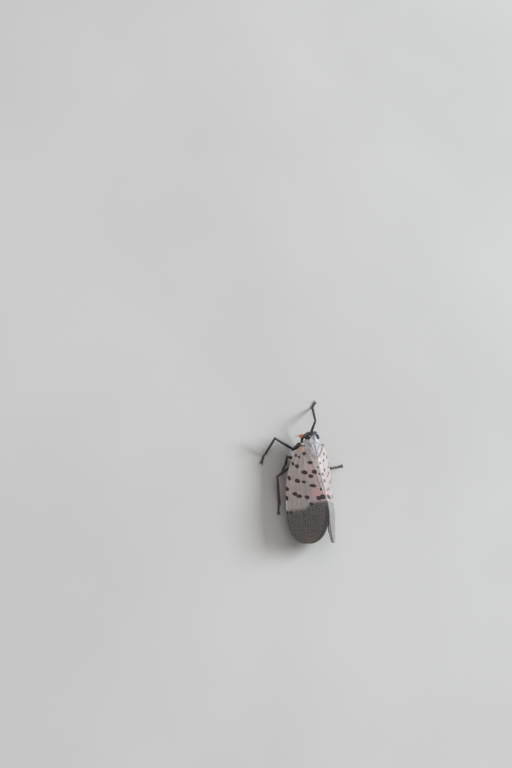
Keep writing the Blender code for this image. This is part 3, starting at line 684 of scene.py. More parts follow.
def plate_finish():
    """Matt pale grey plates with a faint lavender cast, their own dark marks, and painted shading in their
    pits and hollows.
    """
    f = Finish("plate")
    grain, pits = f.noise(9.0, 4.0), f.cells(6.5)
    colour = f.mottle(f.noise(0.9, 4.0), 0.35, 0.65, (184, 180, 182), (202, 199, 201))
    colour = f.tint(colour, f.step(grain, 0.5, 0.75, 0.0, 0.3), 154, 147, 152)
    # Darker where the stored number says: the plates' own dark marks, and painted shading in their hollows
    # and just behind the collar's rear edge.
    colour = f.tints(colour, ("shade", 0.75, 96, 92, 102), ("warm", 0.6, 176, 150, 120))
    # Painted shading in the pits.
    colour = f.tint(colour, f.step(pits, 0.16, 0.04, 0.0, 0.4), 110, 102, 104)
    height = f.math("ADD", f.step(pits, 0.0, 0.3), f.weak(f.noise(22.0), 0.5))
    rough = f.step(grain, 0.3, 0.7, 0.5, 0.66)
    return f.finish(colour, rough, f.relief(height, 0.02, 0.8), Specular_IOR_Level=0.38)


def head_finish():
    """Dark grey head, paler along its crown, with fine pits darkened by painted shading and a smooth beak."""
    f = Finish("head")
    grain, pits = f.noise(7.0, 4.0), f.cells(8.0)
    colour = f.mottle(grain, 0.3, 0.7, (52, 50, 55), (76, 73, 79))
    crown = f.math("MULTIPLY", f.field("pale"), f.step(f.noise(2.4), 0.3, 0.6, 0.65, 1.0))
    colour = f.tint(colour, crown, 92, 91, 101)
    colour = f.tints(colour, ("warm", 0.8, 150, 104, 60))
    # Painted shading in the pits.
    colour = f.tint(colour, f.step(pits, 0.14, 0.03, 0.0, 0.5), 22, 20, 21)
    height = f.math("ADD", f.step(pits, 0.0, 0.25), f.weak(f.noise(30.0, 2.0), 0.4))
    rough = f.step(grain, 0.3, 0.7, 0.36, 0.52)
    return f.finish(colour, rough, f.relief(height, 0.018, 0.8))


def eye_finish():
    """Dark faceted eye with a dim depth, painted shading in the grooves between its facets, and a clear
    gloss.
    """
    f = Finish("eye")
    colour = f.mottle(f.noise(1.6, 2.0, (1.0, 1.0, 2.2)), 0.35, 0.65, (34, 32, 40), (60, 54, 62))
    # Painted shading in the grooves between the facets.
    colour = f.tint(colour, f.step(f.field("facet"), 0.0, 0.35, 0.6, 0.0), 12, 10, 11)
    rough = f.step(f.noise(18.0), 0.3, 0.7, 0.1, 0.18)
    return f.finish(colour, rough, Coat_Weight=0.4, Coat_Roughness=0.08)


def feeler_finish():
    """Coral bulb set with pale pimples, with painted shading at its root that makes it look rounder, and a
    black bristle.
    """
    f = Finish("feeler")
    grain = f.noise(6.0)
    colour = f.mottle(grain, 0.3, 0.7, (216, 108, 84), (230, 142, 106))
    colour = f.tint(colour, f.step(f.field("dot"), 0.05, 0.02, 0.0, 0.7), 240, 168, 118)
    colour = f.tints(colour, ("dark", 1.0, 36, 28, 27))
    rough = f.step(grain, 0.3, 0.7, 0.34, 0.5)
    return f.finish(colour, rough, f.relief(f.noise(24.0), 0.012, 0.7))


def thorax_finish():
    """Black-brown body, with paler folds where the plates meet and a bluish dusting of wax."""
    f = Finish("thorax")
    grain = f.noise(4.0, 4.0)
    colour = f.mottle(grain, 0.3, 0.7, (34, 31, 33), (58, 52, 54))
    colour = f.tint(colour, f.step(f.noise(1.1, 4.0), 0.5, 0.72, 0.0, 0.4), 128, 130, 140)
    colour = f.tints(colour, ("fold", 0.75, 168, 120, 70))
    rough = f.step(grain, 0.3, 0.7, 0.42, 0.6)
    return f.finish(colour, rough, f.relief(f.noise(16.0), 0.025, 0.8))


def abdomen_finish():
    """Yellow belly with a black band on each ring, dusted with wax, and a red tip."""
    f = Finish("abdomen")
    colour = f.mottle(f.noise(1.3), 0.3, 0.7, (206, 158, 52), (226, 186, 84))
    band = f.math("ADD", f.field("band"), f.ragged(f.noise(2.4), 0.5))
    colour = f.tint(colour, f.step(band, 0.38, 0.5), 34, 30, 31)
    colour = f.tints(colour, ("tip", 1.0, 150, 48, 36))
    colour = f.tint(colour, f.weak(f.step(f.noise(3.6, 5.0), 0.52, 0.7), 0.42), 214, 210, 204)
    rough = f.step(f.noise(6.0), 0.3, 0.7, 0.44, 0.62)
    return f.finish(colour, rough, f.relief(f.noise(14.0), 0.03, 0.8))


def leg_finish():
    """Black legs with a dull bluish gloss, browner at the joints."""
    f = Finish("leg")
    grain = f.noise(5.0, 4.0)
    colour = f.mottle(grain, 0.3, 0.7, (40, 40, 46), (64, 64, 72))
    colour = f.tints(colour, ("joint", 0.6, 104, 78, 56))
    rough = f.step(grain, 0.3, 0.7, 0.34, 0.5)
    return f.finish(colour, rough, f.relief(f.noise(26.0), 0.015, 0.8))


def claw_finish():
    """Horn-brown claws that darken to their points, and a dark pad between them."""
    f = Finish("claw")
    colour = f.mottle(f.noise(8.0), 0.3, 0.7, (66, 46, 34), (92, 64, 44))
    colour = f.tints(colour, ("point", 1.0, 22, 18, 18))
    return f.finish(colour, f.step(f.noise(20.0), 0.3, 0.7, 0.22, 0.36))


def floor_finish():
    """A plain pale floor with a breath of unevenness."""
    f = Finish("floor")
    place = f.node("ShaderNodeTexCoord").outputs["Object"]
    cloud = f.node("ShaderNodeTexNoise", {"Vector": place, "Scale": 14.0, "Detail": 3.0}).outputs["Fac"]
    colour = f.mottle(cloud, 0.3, 0.7, (192, 190, 187), (198, 196, 193))
    return f.finish(colour, 0.85, Specular_IOR_Level=0.1)


# Stage.


def make_camera():
    """A camera at the photograph's viewing angle and framing."""
    focal = LENS / SENSOR * max(IMAGE_SIZE)
    distance = focal / PIXELS_PER_MM
    place = BODY_SPACE @ (AIM_POINT + LOOK_BACK * distance)
    turn = BODY_MM.to_3x3() @ Matrix((LOOK_RIGHT, (0, 1, 0), LOOK_BACK)).transposed()
    ray = Vector((AIM_PIXEL[0] - IMAGE_SIZE[0] / 2, IMAGE_SIZE[1] / 2 - AIM_PIXEL[1], -focal)).normalized()
    turn = turn @ ray.rotation_difference(Vector((0, 0, -1))).to_matrix()
    data = bpy.data.cameras.new("camera")
    data.lens = LENS
    data.sensor_width = SENSOR
    data.clip_start = 0.01
    data.clip_end = 20.0
    camera = bpy.data.objects.new("camera", data)
    camera.matrix_world = Matrix.Translation(place) @ turn.to_4x4()
    bpy.context.scene.collection.objects.link(camera)
    bpy.context.scene.camera = camera


def make_light(name, direction, distance, size, power, colour):
    """A soft square light that looks at the insect."""
    data = bpy.data.lights.new(name, "AREA")
    data.shape = "SQUARE"
    data.size = size
    data.energy = power
    data.color = colour
    light = bpy.data.objects.new(name, data)
    direction = Vector(direction).normalized()
    light.location = direction * distance
    light.rotation_mode = "QUATERNION"
    light.rotation_quaternion = (-direction).to_track_quat("-Z", "Y")
    bpy.context.scene.collection.objects.link(light)


def make_stage():
    """Floor, world and lights."""
    bm = bmesh.new()
    bmesh.ops.create_grid(bm, x_segments=8, y_segments=8, size=FLOOR_HALF)
    mesh = bpy.data.meshes.new("floor")
    bm.to_mesh(mesh)
    bm.free()
    mesh.materials.append(floor_finish())
    floor = bpy.data.objects.new("floor", mesh)
    bpy.context.scene.collection.objects.link(floor)
    world = bpy.data.worlds.new("world")
    world.use_nodes = True
    background = world.node_tree.nodes["Background"]
    background.inputs["Color"].default_value = WORLD_COLOUR
    background.inputs["Strength"].default_value = WORLD_STRENGTH
    bpy.context.scene.world = world
    bpy.context.scene.view_settings.view_transform = "Standard"
    for light in LIGHTS:
        make_light(*light)


# Wings.


def wing_margins(s):
    """The forewing's inner and outer margins at s, down its slope from the ridge."""
    swell = np.sin(math.pi / 2 * np.minimum(s / WING_APEX_START, 1.0))
    outer = WING_BASE_WIDTH + (WING_WIDTH - WING_BASE_WIDTH) * swell
    outer = outer - WING_SHOULDER * np.exp(-s / WING_SHOULDER_RUN)
    inner = np.maximum(0.0, WING_INNER_START * (1 - s / WING_INNER_RUN))
    run = np.clip((s - WING_APEX_START) / (WING_LENGTH - WING_APEX_START), 0.0, 1.0)
    half = WING_WIDTH / 2 * (1 - run**WING_APEX_POWER) ** (1 / WING_APEX_POWER)
    tip = s >= WING_APEX_START
    return np.where(tip, WING_WIDTH / 2 - half, inner), np.where(tip, WING_WIDTH / 2 + half, outer)


def wing_first_slope(s, side):
    """How steeply one side of the roof starts down from its ridge."""
    rear = SLOPE_REAR + (SLOPE_RIGHT_EXTRA if side > 0 else 0.0)
    root = SLOPE_ROOT * np.exp(-s / SLOPE_ROOT_RUN)
    return SLOPE_FRONT + (rear - SLOPE_FRONT) * smoothstep(s / SLOPE_RUN) + root


def wing_points(s, t, side, lift):
    """Points of the roof of the wings at s along and t down it, lifted along its normal."""
    steepness = SLOPE_CURVE / WING_WIDTH
    first = wing_first_slope(s, side)
    slope = first + steepness * t
    ridge = RIDGE_LOW + RIDGE_RISE * smoothstep(s / RIDGE_RUN)
    root = (GAP + MEMBRANE * np.sin(first)) / 2
    x = root + (np.sin(slope) - np.sin(first)) / steepness + lift * np.sin(slope)
    z = ridge - (np.cos(first) - np.cos(slope)) / steepness + lift * np.cos(slope)
    return np.stack([side * x, WING_BASE_Y - s, z], -1)


def hash_share(a, b, seed):
    """A share from 0 to 1 that looks random but is always the same for two whole numbers."""
    value = np.sin(a * 127.1 + b * 311.7 + seed * 74.7) * 43758.5453
    return value - np.floor(value)


def one_share(a, b, seed):
    """The same for one pair of whole numbers."""
    return float(hash_share(np.float64(a), np.float64(b), seed))


def bricks(s, t, pitch, length, wall, corner, seed):
    """Distance out of the nearest cell of a wavy brick net, less than 0 within it, and the cell's share."""
    wavy = t + 0.09 * np.sin(1.7 * s + 0.9 * t + seed) + 0.05 * np.sin(3.3 * s - 1.4 * t)
    row = np.floor(wavy / pitch)
    start = hash_share(row, 0 * row, seed) * length
    k = np.floor((s + start) / length)

    def border(k):
        return (k + 0.5 * (hash_share(row, k, seed + 1) - 0.5)) * length - start

    k = np.where(s < border(k), k - 1, k)
    k = np.where(s >= border(k + 1), k + 1, k)
    low, high = border(k), border(k + 1)
    along = np.abs(s - (low + high) / 2) - ((high - low) / 2 - wall - corner)
    across = np.abs(wavy - (row + 0.5) * pitch) - (pitch / 2 - wall - corner)
    outside = np.hypot(np.maximum(along, 0), np.maximum(across, 0))
    return np.minimum(np.maximum(along, across), 0) + outside - corner, hash_share(row, k, seed + 2)


def line_distance(s, t, line):
    """Distance in millimetres from each point to a bent line."""
    nearest = np.full(s.shape, 1e3)
    for (s0, t0), (s1, t1) in zip(line, line[1:]):
        ds, dt = s1 - s0, t1 - t0
        f = np.clip(((s - s0) * ds + (t - t0) * dt) / (ds * ds + dt * dt), 0, 1)
        nearest = np.minimum(nearest, np.hypot(s - s0 - f * ds, t - t0 - f * dt))
    return nearest


def nearest_line(s, t, lines):
    """Distance to the nearest of several bent lines."""
    return np.minimum.reduce([line_distance(s, t, line) for line in lines])


def vein_net(s, t):
    """Distances to the main veins, to their forks and to the cross veins between them."""
    main = [spline(line, 5 * len(line)) for line in MAIN_VEINS]
    forks = [spline(line, 4 * len(line)) for line in VEIN_FORKS]
    rungs = []
    for k in range(CROSS_VEINS):
        place = 1.6 + 10.4 * k / CROSS_VEINS
        crossed = [np.interp(place, line[:, 0], line[:, 1], np.nan, np.nan) for line in main + forks]
        inner, outer = (float(margin) for margin in wing_margins(np.float64(place)))
        rows = [inner] + [float(row) for row in sorted(crossed) if not np.isnan(row)] + [outer]
        row = int(one_share(k, 3, 5) * (len(rows) - 1))
        lean = 0.35 * (one_share(k, 4, 6) - 0.4)
        rungs.append([(place, rows[row]), (place + lean, rows[row + 1])])
    return nearest_line(s, t, main), nearest_line(s, t, forks), nearest_line(s, t, rungs)


def spot_distance(s, t, spots, seed):
    """Distance out of the nearest spot, less than 0 within it; each spot's outline is a little uneven."""
    nearest = np.full(s.shape, 1e3)
    for k, (s0, t0, across, along) in enumerate(spots):
        a, b = (s - s0) / along, (t - t0) / across
        turn = np.arctan2(a, b)
        phase = 6.28 * one_share(k, 1, seed)
        uneven = 1 + 0.04 * np.sin(2 * turn + phase) + 0.035 * np.sin(3 * turn - 2 * phase)
        nearest = np.minimum(nearest, (np.hypot(a, b) / uneven - 1) * min(across, along))
    return nearest


def spots_of(side):
    """One forewing's spots: the right one's differ a little in place from the left one's."""
    chosen = list(SPOTS if side < 0 else RIGHT_SPOTS)
    for k, (s0, t0, across, along) in enumerate(SPOTS if side > 0 else ()):
        if all(math.hypot(s0 - s1, t0 - t1) > SPOT_APART for s1, t1, _, _ in RIGHT_SPOTS):
            s_here = s0 + 0.3 * (one_share(k, 1, 21) - 0.5)
            t_here = min(8.45, t0 + 0.24 * (one_share(k, 2, 21) - 0.5))
            chosen.append((s_here, t_here, across, along))
    return [(s0, t0, across * SPOT_SWELL, along * SPOT_SWELL) for s0, t0, across, along in chosen]


def patches(s, t, rows):
    """Soft patches of a tint: how strong, where along the wing and how long, where down it and how wide."""
    total = sum(much * bump_at(s, s0, long) * bump_at(t, t0, wide) for much, s0, long, t0, wide in rows)
    return np.clip(total, 0, 1)


def tegmen_marks(s, t, side):
    """Every marking of a forewing, with the painted sheen and shadow of its tips, and the relief of its veins
    and net.
    """
    inner, outer = wing_margins(s)
    main, fork, rung = vein_net(s, t)
    border = np.interp(t, (0, 3, 4.5, 8.7), (11.6, 12.0, 13.2, 13.8))
    fade = np.interp(t, (0, 3, 5, 8.7), (1.0, 1.3, 2.0, 2.3))
    zone = smoothstep((s - border + 0.45 * fade) / fade)
    fanned = WING_WIDTH / 2 + (t - WING_WIDTH / 2) / (1 + 0.025 * (s - 11))
    cell, tone = bricks(s, fanned, pitch=0.27, length=0.50, wall=0.034, corner=0.05, seed=3)
    net, _ = bricks(s, t, pitch=0.55, length=1.15, wall=0.03, corner=0.12, seed=8)
    suture = line_distance(s, t, SUTURE)
    to_outer, from_inner = outer - t, t - inner
    rim = smoothstep((2.6 - WING_LENGTH + s) / 2.2) * smoothstep((5.8 - t) / 2.4)
    hem = smoothstep((0.43 - to_outer) / 0.2) * smoothstep((s - 10.6) / 0.8) * smoothstep((17.0 - s) / 1.5)
    # Painted shadow of the gap between the wing tips, along the left tip's inner margin.
    gap_shadow = smoothstep((0.5 - from_inner) / 0.3) * smoothstep((s - 12.2) / 1.0)
    warm = patches(s, t, WARM_PATCHES) + 0.30 * bump_at(s, 10.6, 1.6) * bump_at(to_outer, 0.3, 0.6)
    marks = {
        "vein": np.minimum(main - 0.055, np.minimum(fork - 0.04, rung - 0.028)),
        "suture": suture - 0.05,
        "net": -net,
        "cell": cell,
        "tone": tone,
        "zone": zone,
        # The right wing's pink and warm tints are weakened as painted light, for its paler look in the
        # stronger light on that side.
        "pink": patches(s, t, PINK_PATCHES) * (0.7 if side > 0 else 1.0),
        "cool": patches(s, t, COOL_PATCHES),
        "warm": np.clip(warm, 0, 1) * (0.4 if side > 0 else 1.0),
        "pale": 0.8 * hem,
        "rim": rim * smoothstep((from_inner + 0.2) / 0.4),
        # Painted sheen on the right wing's tip, where glancing light pales it.
        "painted_sheen": PAINTED_TIP_SHEEN * zone * smoothstep((8.0 - t) / 5.0) * (side > 0),
        # Painted shadow along the left tip's inner margin.
        "gap_shadow": PAINTED_GAP_SHADOW * gap_shadow * (side < 0),
        "smudge": patches(s, t, SMUDGES),
        "spot": spot_distance(s, t, spots_of(side), 3 + side),
    }
    relief = 0.05 * np.exp(-((main / 0.11) ** 2)) + 0.03 * np.exp(-((fork / 0.08) ** 2))
    relief += 0.015 * np.exp(-((rung / 0.06) ** 2)) - 0.03 * np.exp(-((suture / 0.09) ** 2))
    relief += 0.035 * zone * smoothstep((cell + 0.03) / 0.05)
    relief += 0.010 * (1 - zone) * smoothstep((net + 0.03) / 0.05)
    relief += 0.07 * smoothstep((0.16 - to_outer) / 0.16)
    return marks, relief


def crest_drop(s, t):
    """How much lower a forewing lies by its inner margin, which rounds the ridge of the roof."""
    stretch = smoothstep((s - 1.6) / 1.6) * smoothstep((14.0 - s) / 3.5)
    return CREST_DROP * np.exp(-np.maximum(t, 0) / CREST_RUN) * stretch


def ridge_reach(s, side, lift):
    """How far a thin wing reaches inward past its solid's margin to meet the other wing on the ridge."""
    first = wing_first_slope(s, side)
    gap = (GAP + MEMBRANE * np.sin(first)) / 2 + (lift - crest_drop(s, 0 * s)) * np.sin(first) - 0.025
    inner = wing_margins(s)[0]
    return gap / np.cos(first) * (1 - smoothstep(inner / 0.7))


def make_tegmina(material):
    """Both forewings, each a thin leathery sheet with its veins and net raised."""
    rows, columns, top_lift = 330, 136, 0.235
    u = np.linspace(0, 1, rows)[:, None]
    end = WING_LENGTH - 0.03
    s = WING_START + (end - WING_START) * (0.55 * u + 0.45 * np.sin(math.pi / 2 * u))
    s = np.repeat(s, columns, 1)
    v = np.linspace(0, 1, columns)
    inner, outer = wing_margins(s)
    rooted = smoothstep(inner / 0.4)
    for name, side in (("tegmen_l", -1), ("tegmen_r", 1)):
        start = inner - np.maximum(ridge_reach(s, side, top_lift), 0.45 * rooted)
        t = start + (outer - start) * v
        marks, relief = tegmen_marks(s, t, side)
        lift = top_lift - crest_drop(s, t) - ROOT_TUCK * rooted * smoothstep((inner - 0.03 - t) / 0.22)
        edge = np.minimum(np.minimum(t - start, outer - t), np.minimum(s - WING_START, (end - s) * 1.5))
        rounding = np.sqrt(np.clip(edge / 0.11, 0.0, 1.0))
        top = wing_points(s, t, side, lift - 0.08 * (1 - rounding) + relief * rounding)
        under = wing_points(s, t, side, lift - 0.11 - 0.10 * rounding + 0.5 * relief * rounding)
        add_piece(name + "_skin", slab(top, under), material, [name], fields=both_faces(**marks))


def make_hindwings(material):
    """Both hindwings, pleated along their length and folded under the forewings."""
    rows, columns, pleats = 220, 96, 15
    u = np.linspace(0, 1, rows)[:, None]
    s = HIND_START + (HIND_END - HIND_START) * (0.5 * u + 0.5 * np.sin(math.pi / 2 * u))
    s = np.repeat(s, columns, 1)
    across = np.linspace(-1, 1, columns)
    inner, outer = wing_margins(s)
    low, high = np.maximum(inner, HIND_INNER), outer * HIND_OUTER_SHARE
    round_off = np.sqrt(np.clip(1 - ((s - HIND_START) / (HIND_END - HIND_START)) ** 6, 0, 1))
    root = 0.35 + 0.65 * smoothstep((s - HIND_START) / 4.0)
    half = (high - low) / 2 * np.maximum(round_off, 0.1) * root
    t = (low + high) / 2 + (1 - root) * 0.4 + half * across
    fan = (across * 0.5 + 0.5) * pleats * math.pi
    lift = 0.085 * np.sin(fan) * smoothstep((s - HIND_START) / 3.0) - MEMBRANE - GAP
    vein = np.abs(np.sin(fan / 2)) * half * 2 / pleats - 0.03
    fields = both_faces(vein=vein, along=s, spot=spot_distance(s, t, HIND_SPOTS, 9))
    for name, side in (("hindwing_l", -1), ("hindwing_r", 1)):
        top = wing_points(s, t, side, lift + 0.05)
        under = wing_points(s, t, side, lift - 0.05)
        add_piece(name + "_skin", slab(top, under), material, [name], fields=fields)


# Plates of the thorax.


def pitted(points, count, depth, width, seed):
    """Small round pits spread over a grid of points: how deep each point lies."""
    flat = points.reshape(-1, 3)
    chance = np.random.default_rng(seed)
    centres = flat[chance.choice(len(flat), count, replace=False)]
    tree = kdtree.KDTree(count)
    for k, centre in enumerate(centres):
        tree.insert(centre, k)
    tree.balance()
    near = np.array([tree.find(p)[2] for p in flat])
    return (depth * np.exp(-((near / width) ** 2))).reshape(points.shape[:2])


def add_plate(name, points, relief, rounding, depth, shade, warm, material):
    """A plate of the thorax made on a grid of points, rounded off and thinner along its edge."""
    rows, columns = points.shape[:2]
    normal = grid_normals(points)
    normal *= np.sign(normal[rows // 2, columns // 2, 2])
    upper = points + normal * (relief * rounding - 0.05 * (1 - rounding))[..., None]
    under = points - normal * (0.09 + depth * rounding)[..., None]
    fields = both_faces(shade=shade, warm=warm)
    add_piece(name + "_skin", slab(upper, under), material, [name], fields=fields)


def make_pronotum(material):
    """The collar behind the head, with a keel down its middle, two fainter ones and fine wrinkles."""
    rows, columns = 72, 220
    v = np.repeat(np.linspace(0, 1, rows)[:, None], columns, 1)
    angle = np.linspace(-1, 1, columns) * PRONOTUM_ANGLE
    share = np.abs(angle) / PRONOTUM_ANGLE
    front = PRONOTUM_FRONT_Y - 1.98 * (np.hypot(share, 0.05) - 0.05) ** 0.65
    rear = PRONOTUM_REAR_Y - 0.6 * share + 0.12 * bump_at(share, 0.0, 0.25)
    width = 1.85 + 0.65 * smoothstep(v)
    top, height = 0.55 + 0.5 * v, 1.65 + 0.35 * v
    y, z = front + (rear - front) * v, top - height * (1 - np.cos(angle))
    points = np.stack([width * np.sin(angle), y, z], -1)
    keels = 0.12 * bump_at(share, 0, 0.022) + 0.06 * bump_at(share, 0.30, 0.02) * smoothstep(v / 0.3)
    lip = 0.05 * smoothstep((0.06 - v) / 0.05) + 0.02 * smoothstep((v - 0.93) / 0.05)
    hollow = 0.10 * bump_at(share, 0.15, 0.08) * bump_at(v, 0.5, 0.3)
    wrinkles = 0.014 * np.sin(v * 42 + 3 * np.sin(angle * 3)) * (1 - bump_at(share, 0, 0.06))
    edge = np.minimum(np.minimum(v, 1 - v) * 2.0, (1 - share) * 3.0)
    rounding = np.sqrt(np.clip(edge / 0.08, 0, 1))
    pits = pitted(points, count=420, depth=0.02, width=0.045, seed=4)
    relief = keels + lip - hollow + wrinkles - pits
    # Painted shading in the hollow on each side of the middle keel; darker down the collar's sides.
    shade = 0.2 * bump_at(share, 0.15, 0.09) * bump_at(v, 0.5, 0.3) + 0.5 * smoothstep((share - 0.62) / 0.2)
    warm = 0.6 * bump_at(v, 0.0, 0.12) * bump_at(share, 0.3, 0.25)
    add_plate("pronotum", points, relief, rounding, 0.13, shade, warm, material)


def make_mesonotum(material):
    """The three-cornered shield between the wing roots: three keels, its front tucked in."""
    rows, columns, tuck = 120, 120, 0.16
    v = np.repeat(np.linspace(-tuck, 1, rows)[:, None], columns, 1)
    across = np.linspace(-1, 1, columns)
    down = np.clip(v, 0, 1)
    half = MESONOTUM_HALF_WIDTH * (1 - down) + 0.14 + MESONOTUM_RIM
    x = half * across
    far = np.abs(x)
    front = MESONOTUM_FRONT_Y - MESONOTUM_ARCH * np.abs(across)
    y = front + (MESONOTUM_TIP_Y - front) * v
    crown = 1.1 + 0.2 * (MESONOTUM_FRONT_Y - np.minimum(y, MESONOTUM_FRONT_Y))
    z = crown - 0.17 * x * x - (0.2 + 0.2 * np.abs(across)) * np.clip(-v / tuck, 0, 1) ** 1.3
    points = np.stack([x, y, z], -1)
    side_keel = 0.95 * (1 - down) + 0.1
    keels = 0.07 * bump_at(far, side_keel, 0.09) * smoothstep((0.85 - down) / 0.2)
    keels = 0.09 * bump_at(far, 0, 0.09) + keels
    hollow = 0.07 * bump_at(far, side_keel * 0.5, 0.22) * bump_at(down, 0.3, 0.3)
    tail = 0.05 * smoothstep((down - 0.85) / 0.1)
    edge = np.minimum((1 - np.abs(across)) * half, (1 - v) * 2.6)
    rounding = np.sqrt(np.clip(edge / 0.12, 0, 1))
    relief = keels - hollow + tail - pitted(points, count=300, depth=0.018, width=0.05, seed=6)
    # Darker at each front corner, partly the shield's own dark patch and partly painted shadow just behind
    # the collar's rear edge; painted shading in the hollows beside the side keels.
    shade = 0.1 + 0.75 * bump_at(far, 1.35, 0.42) * bump_at(y, 1.05, 0.32)
    shade = shade + 0.3 * bump_at(far, side_keel * 0.5, 0.2)
    warm = 0.5 * smoothstep((down - 0.72) / 0.25)
    add_plate("mesonotum", points, relief, rounding, 0.16, shade, warm, material)


def make_tegulae(material):
    """The small scale over the front of each wing's root, with a rim and one dark dot."""
    for name, side in (("tegula_l", -1), ("tegula_r", 1)):
        centre = np.array(on_side(TEGULA_CENTRE, side))
        points, faces = ball(centre, TEGULA_RADII, detail=6)
        away = (points - centre) / np.array(TEGULA_RADII)
        ring = np.hypot(away[:, 0], away[:, 1])
        rim = 0.03 * bump_at(ring, 0.82, 0.1) - 0.02 * bump_at(ring, 0.6, 0.12)
        points = points + away * rim[:, None]
        shade = 0.4 + 0.5 * bump_at(np.hypot(away[:, 0] - 0.2 * side, away[:, 1] + 0.1), 0, 0.22)
        fields = {"shade": shade, "warm": 0.5 * bump_at(away[:, 1], -0.9, 0.4)}
        add_piece(name + "_skin", (points, faces), material, [name], fields=fields)


# Head.


def head_shape():
    """The head from its blunt raised tip down the long keeled face to the mouth."""
    rings = []
    angle = turns(144)
    for z, front, rear, half, power in spline(HEAD_SECTIONS, 150):
        a, b = superellipse(angle, max(2.0, power))
        x, y = a * half, (front + rear) / 2 + b * (front - rear) / 2
        face = smoothstep((b - 0.35) / 0.3)
        frons = smoothstep((z + 1.85) / 0.2) * smoothstep((0.95 - z) / 0.3)
        out = 0.055 * bump_at(x, 0, 0.05) + 0.065 * bump_at(np.abs(x), 0.56 * max(half, 0.3), 0.05)
        out = (out + 0.075 * bump_at(np.abs(x), 0.95 * half, 0.07)) * face * frons
        out = out - 0.06 * face * bump_at(z, -1.9, 0.05) + 0.05 * face * bump_at(z, -2.25, 0.25)
        crown = smoothstep((z - 0.3) / 0.25) * smoothstep((0.35 - b) / 0.3)
        out = out + crown * (0.07 * bump_at(np.abs(a), 0.86, 0.14) + 0.05 * bump_at(x, 0, 0.05) - 0.03)
        away = unit_rows(np.stack([a, b, 0 * a], -1))
        rings.append(np.stack([x, y, np.full(len(x), z)], -1) + away * out[:, None])
    return tube(rings)


def make_head(material):
    """The head's skin, with a socket round each eye and feeler."""
    parts = [head_shape()]
    for side in (-1, 1):
        socket = Vector((side * EYE_CENTRE.x * 0.86, EYE_CENTRE.y, EYE_CENTRE.z))
        parts.append(ball(socket, (0.34, 0.70, 0.82)))
        out = antenna_direction(side)
        centre = on_side(PEDICEL_CENTRE, side)
        parts.append(segment(centre - out * 1.35, centre - out * 0.86, ((0, 0.5), (0.7, 0.42), (1, 0.3))))
        parts.append(ball((side * 0.62, 3.95, 0.62), (0.16, 0.13, 0.18)))
    points, faces, _ = fused(parts, voxel=0.032, rounds=2)
    x, y, z = points.T
    crown = smoothstep((z - 0.35) / 0.3) * smoothstep((0.75 - np.abs(x)) / 0.25) * smoothstep((y - 2.2) / 0.5)
    keel = bump_at(x, 0, 0.16) * smoothstep((y - 3.6) / 0.2) * smoothstep((z + 1.6) / 0.6)
    warm = bump_at(np.abs(x), 1.05, 0.22) * bump_at(z, -1.15, 0.28) + 0.6 * smoothstep((-2.0 - z) / 0.5)
    fields = {"pale": np.maximum(crown, 0.35 * keel), "warm": np.clip(warm, 0, 1)}
    add_piece("head_skin", (points, faces), material, ["head"], fields=fields)


def make_beak(material):
    """The jointed beak laid back under the body, with a groove along its underside."""
    rows = spline(BEAK, 120)
    pinch = 1 - 0.16 * bump_at(rows[:, 1], 1.9, 0.05) - 0.16 * bump_at(rows[:, 1], -0.4, 0.05)
    points, faces = limb(rows[:, :3], rows[:, 3] * pinch, sides=40, ribs=0.03, arms=2)
    groove = np.where(np.abs(points[:, 0]) < 0.03, 0.02, 0.0) * (points[:, 2] < -3.9)
    points[:, 2] += groove
    fields = {"pale": 0 * groove, "warm": 0.5 * smoothstep((-2.2 - points[:, 1]) / 1.2)}
    add_piece("rostrum_skin", (points, faces), material, ["rostrum"], fields=fields)


def sphere_points(count):
    """Points spread evenly over a unit sphere."""
    k = np.arange(count) + 0.5
    height = 1 - 2 * k / count
    turn = math.pi * (1 + 5**0.5) * k
    flat = np.sqrt(1 - height**2)
    return np.stack([flat * np.cos(turn), flat * np.sin(turn), height], -1)


def nearest_two(points, centres):
    """Each point's distance to its nearest centre and to the next one."""
    tree = kdtree.KDTree(len(centres))
    for k, centre in enumerate(centres):
        tree.insert(centre, k)
    tree.balance()
    found = [[hit[2] for hit in tree.find_n(p, 2)] for p in points]
    return np.array(found).T


def make_eyes(material):
    """Both compound eyes, each facet a small dome."""
    away, faces = ball((0, 0, 0), (1, 1, 1), detail=6)
    first, second = nearest_two(away, sphere_points(1100))
    facet = smoothstep((second - first) / 0.05)
    for name, side in (("eye_l", -1), ("eye_r", 1)):
        reach = np.array(EYE_RADII) * (0.985 + 0.02 * facet)[:, None]
        points = np.array(on_side(EYE_CENTRE, side)) + away * reach
        fields = {"facet": (second - first) / 0.1}
        add_piece(name + "_skin", (points, faces), material, [name], fields=fields)


def antenna_direction(side):
    """The way a feeler points."""
    return Vector((side * 0.96, 0.12, -0.25)).normalized()


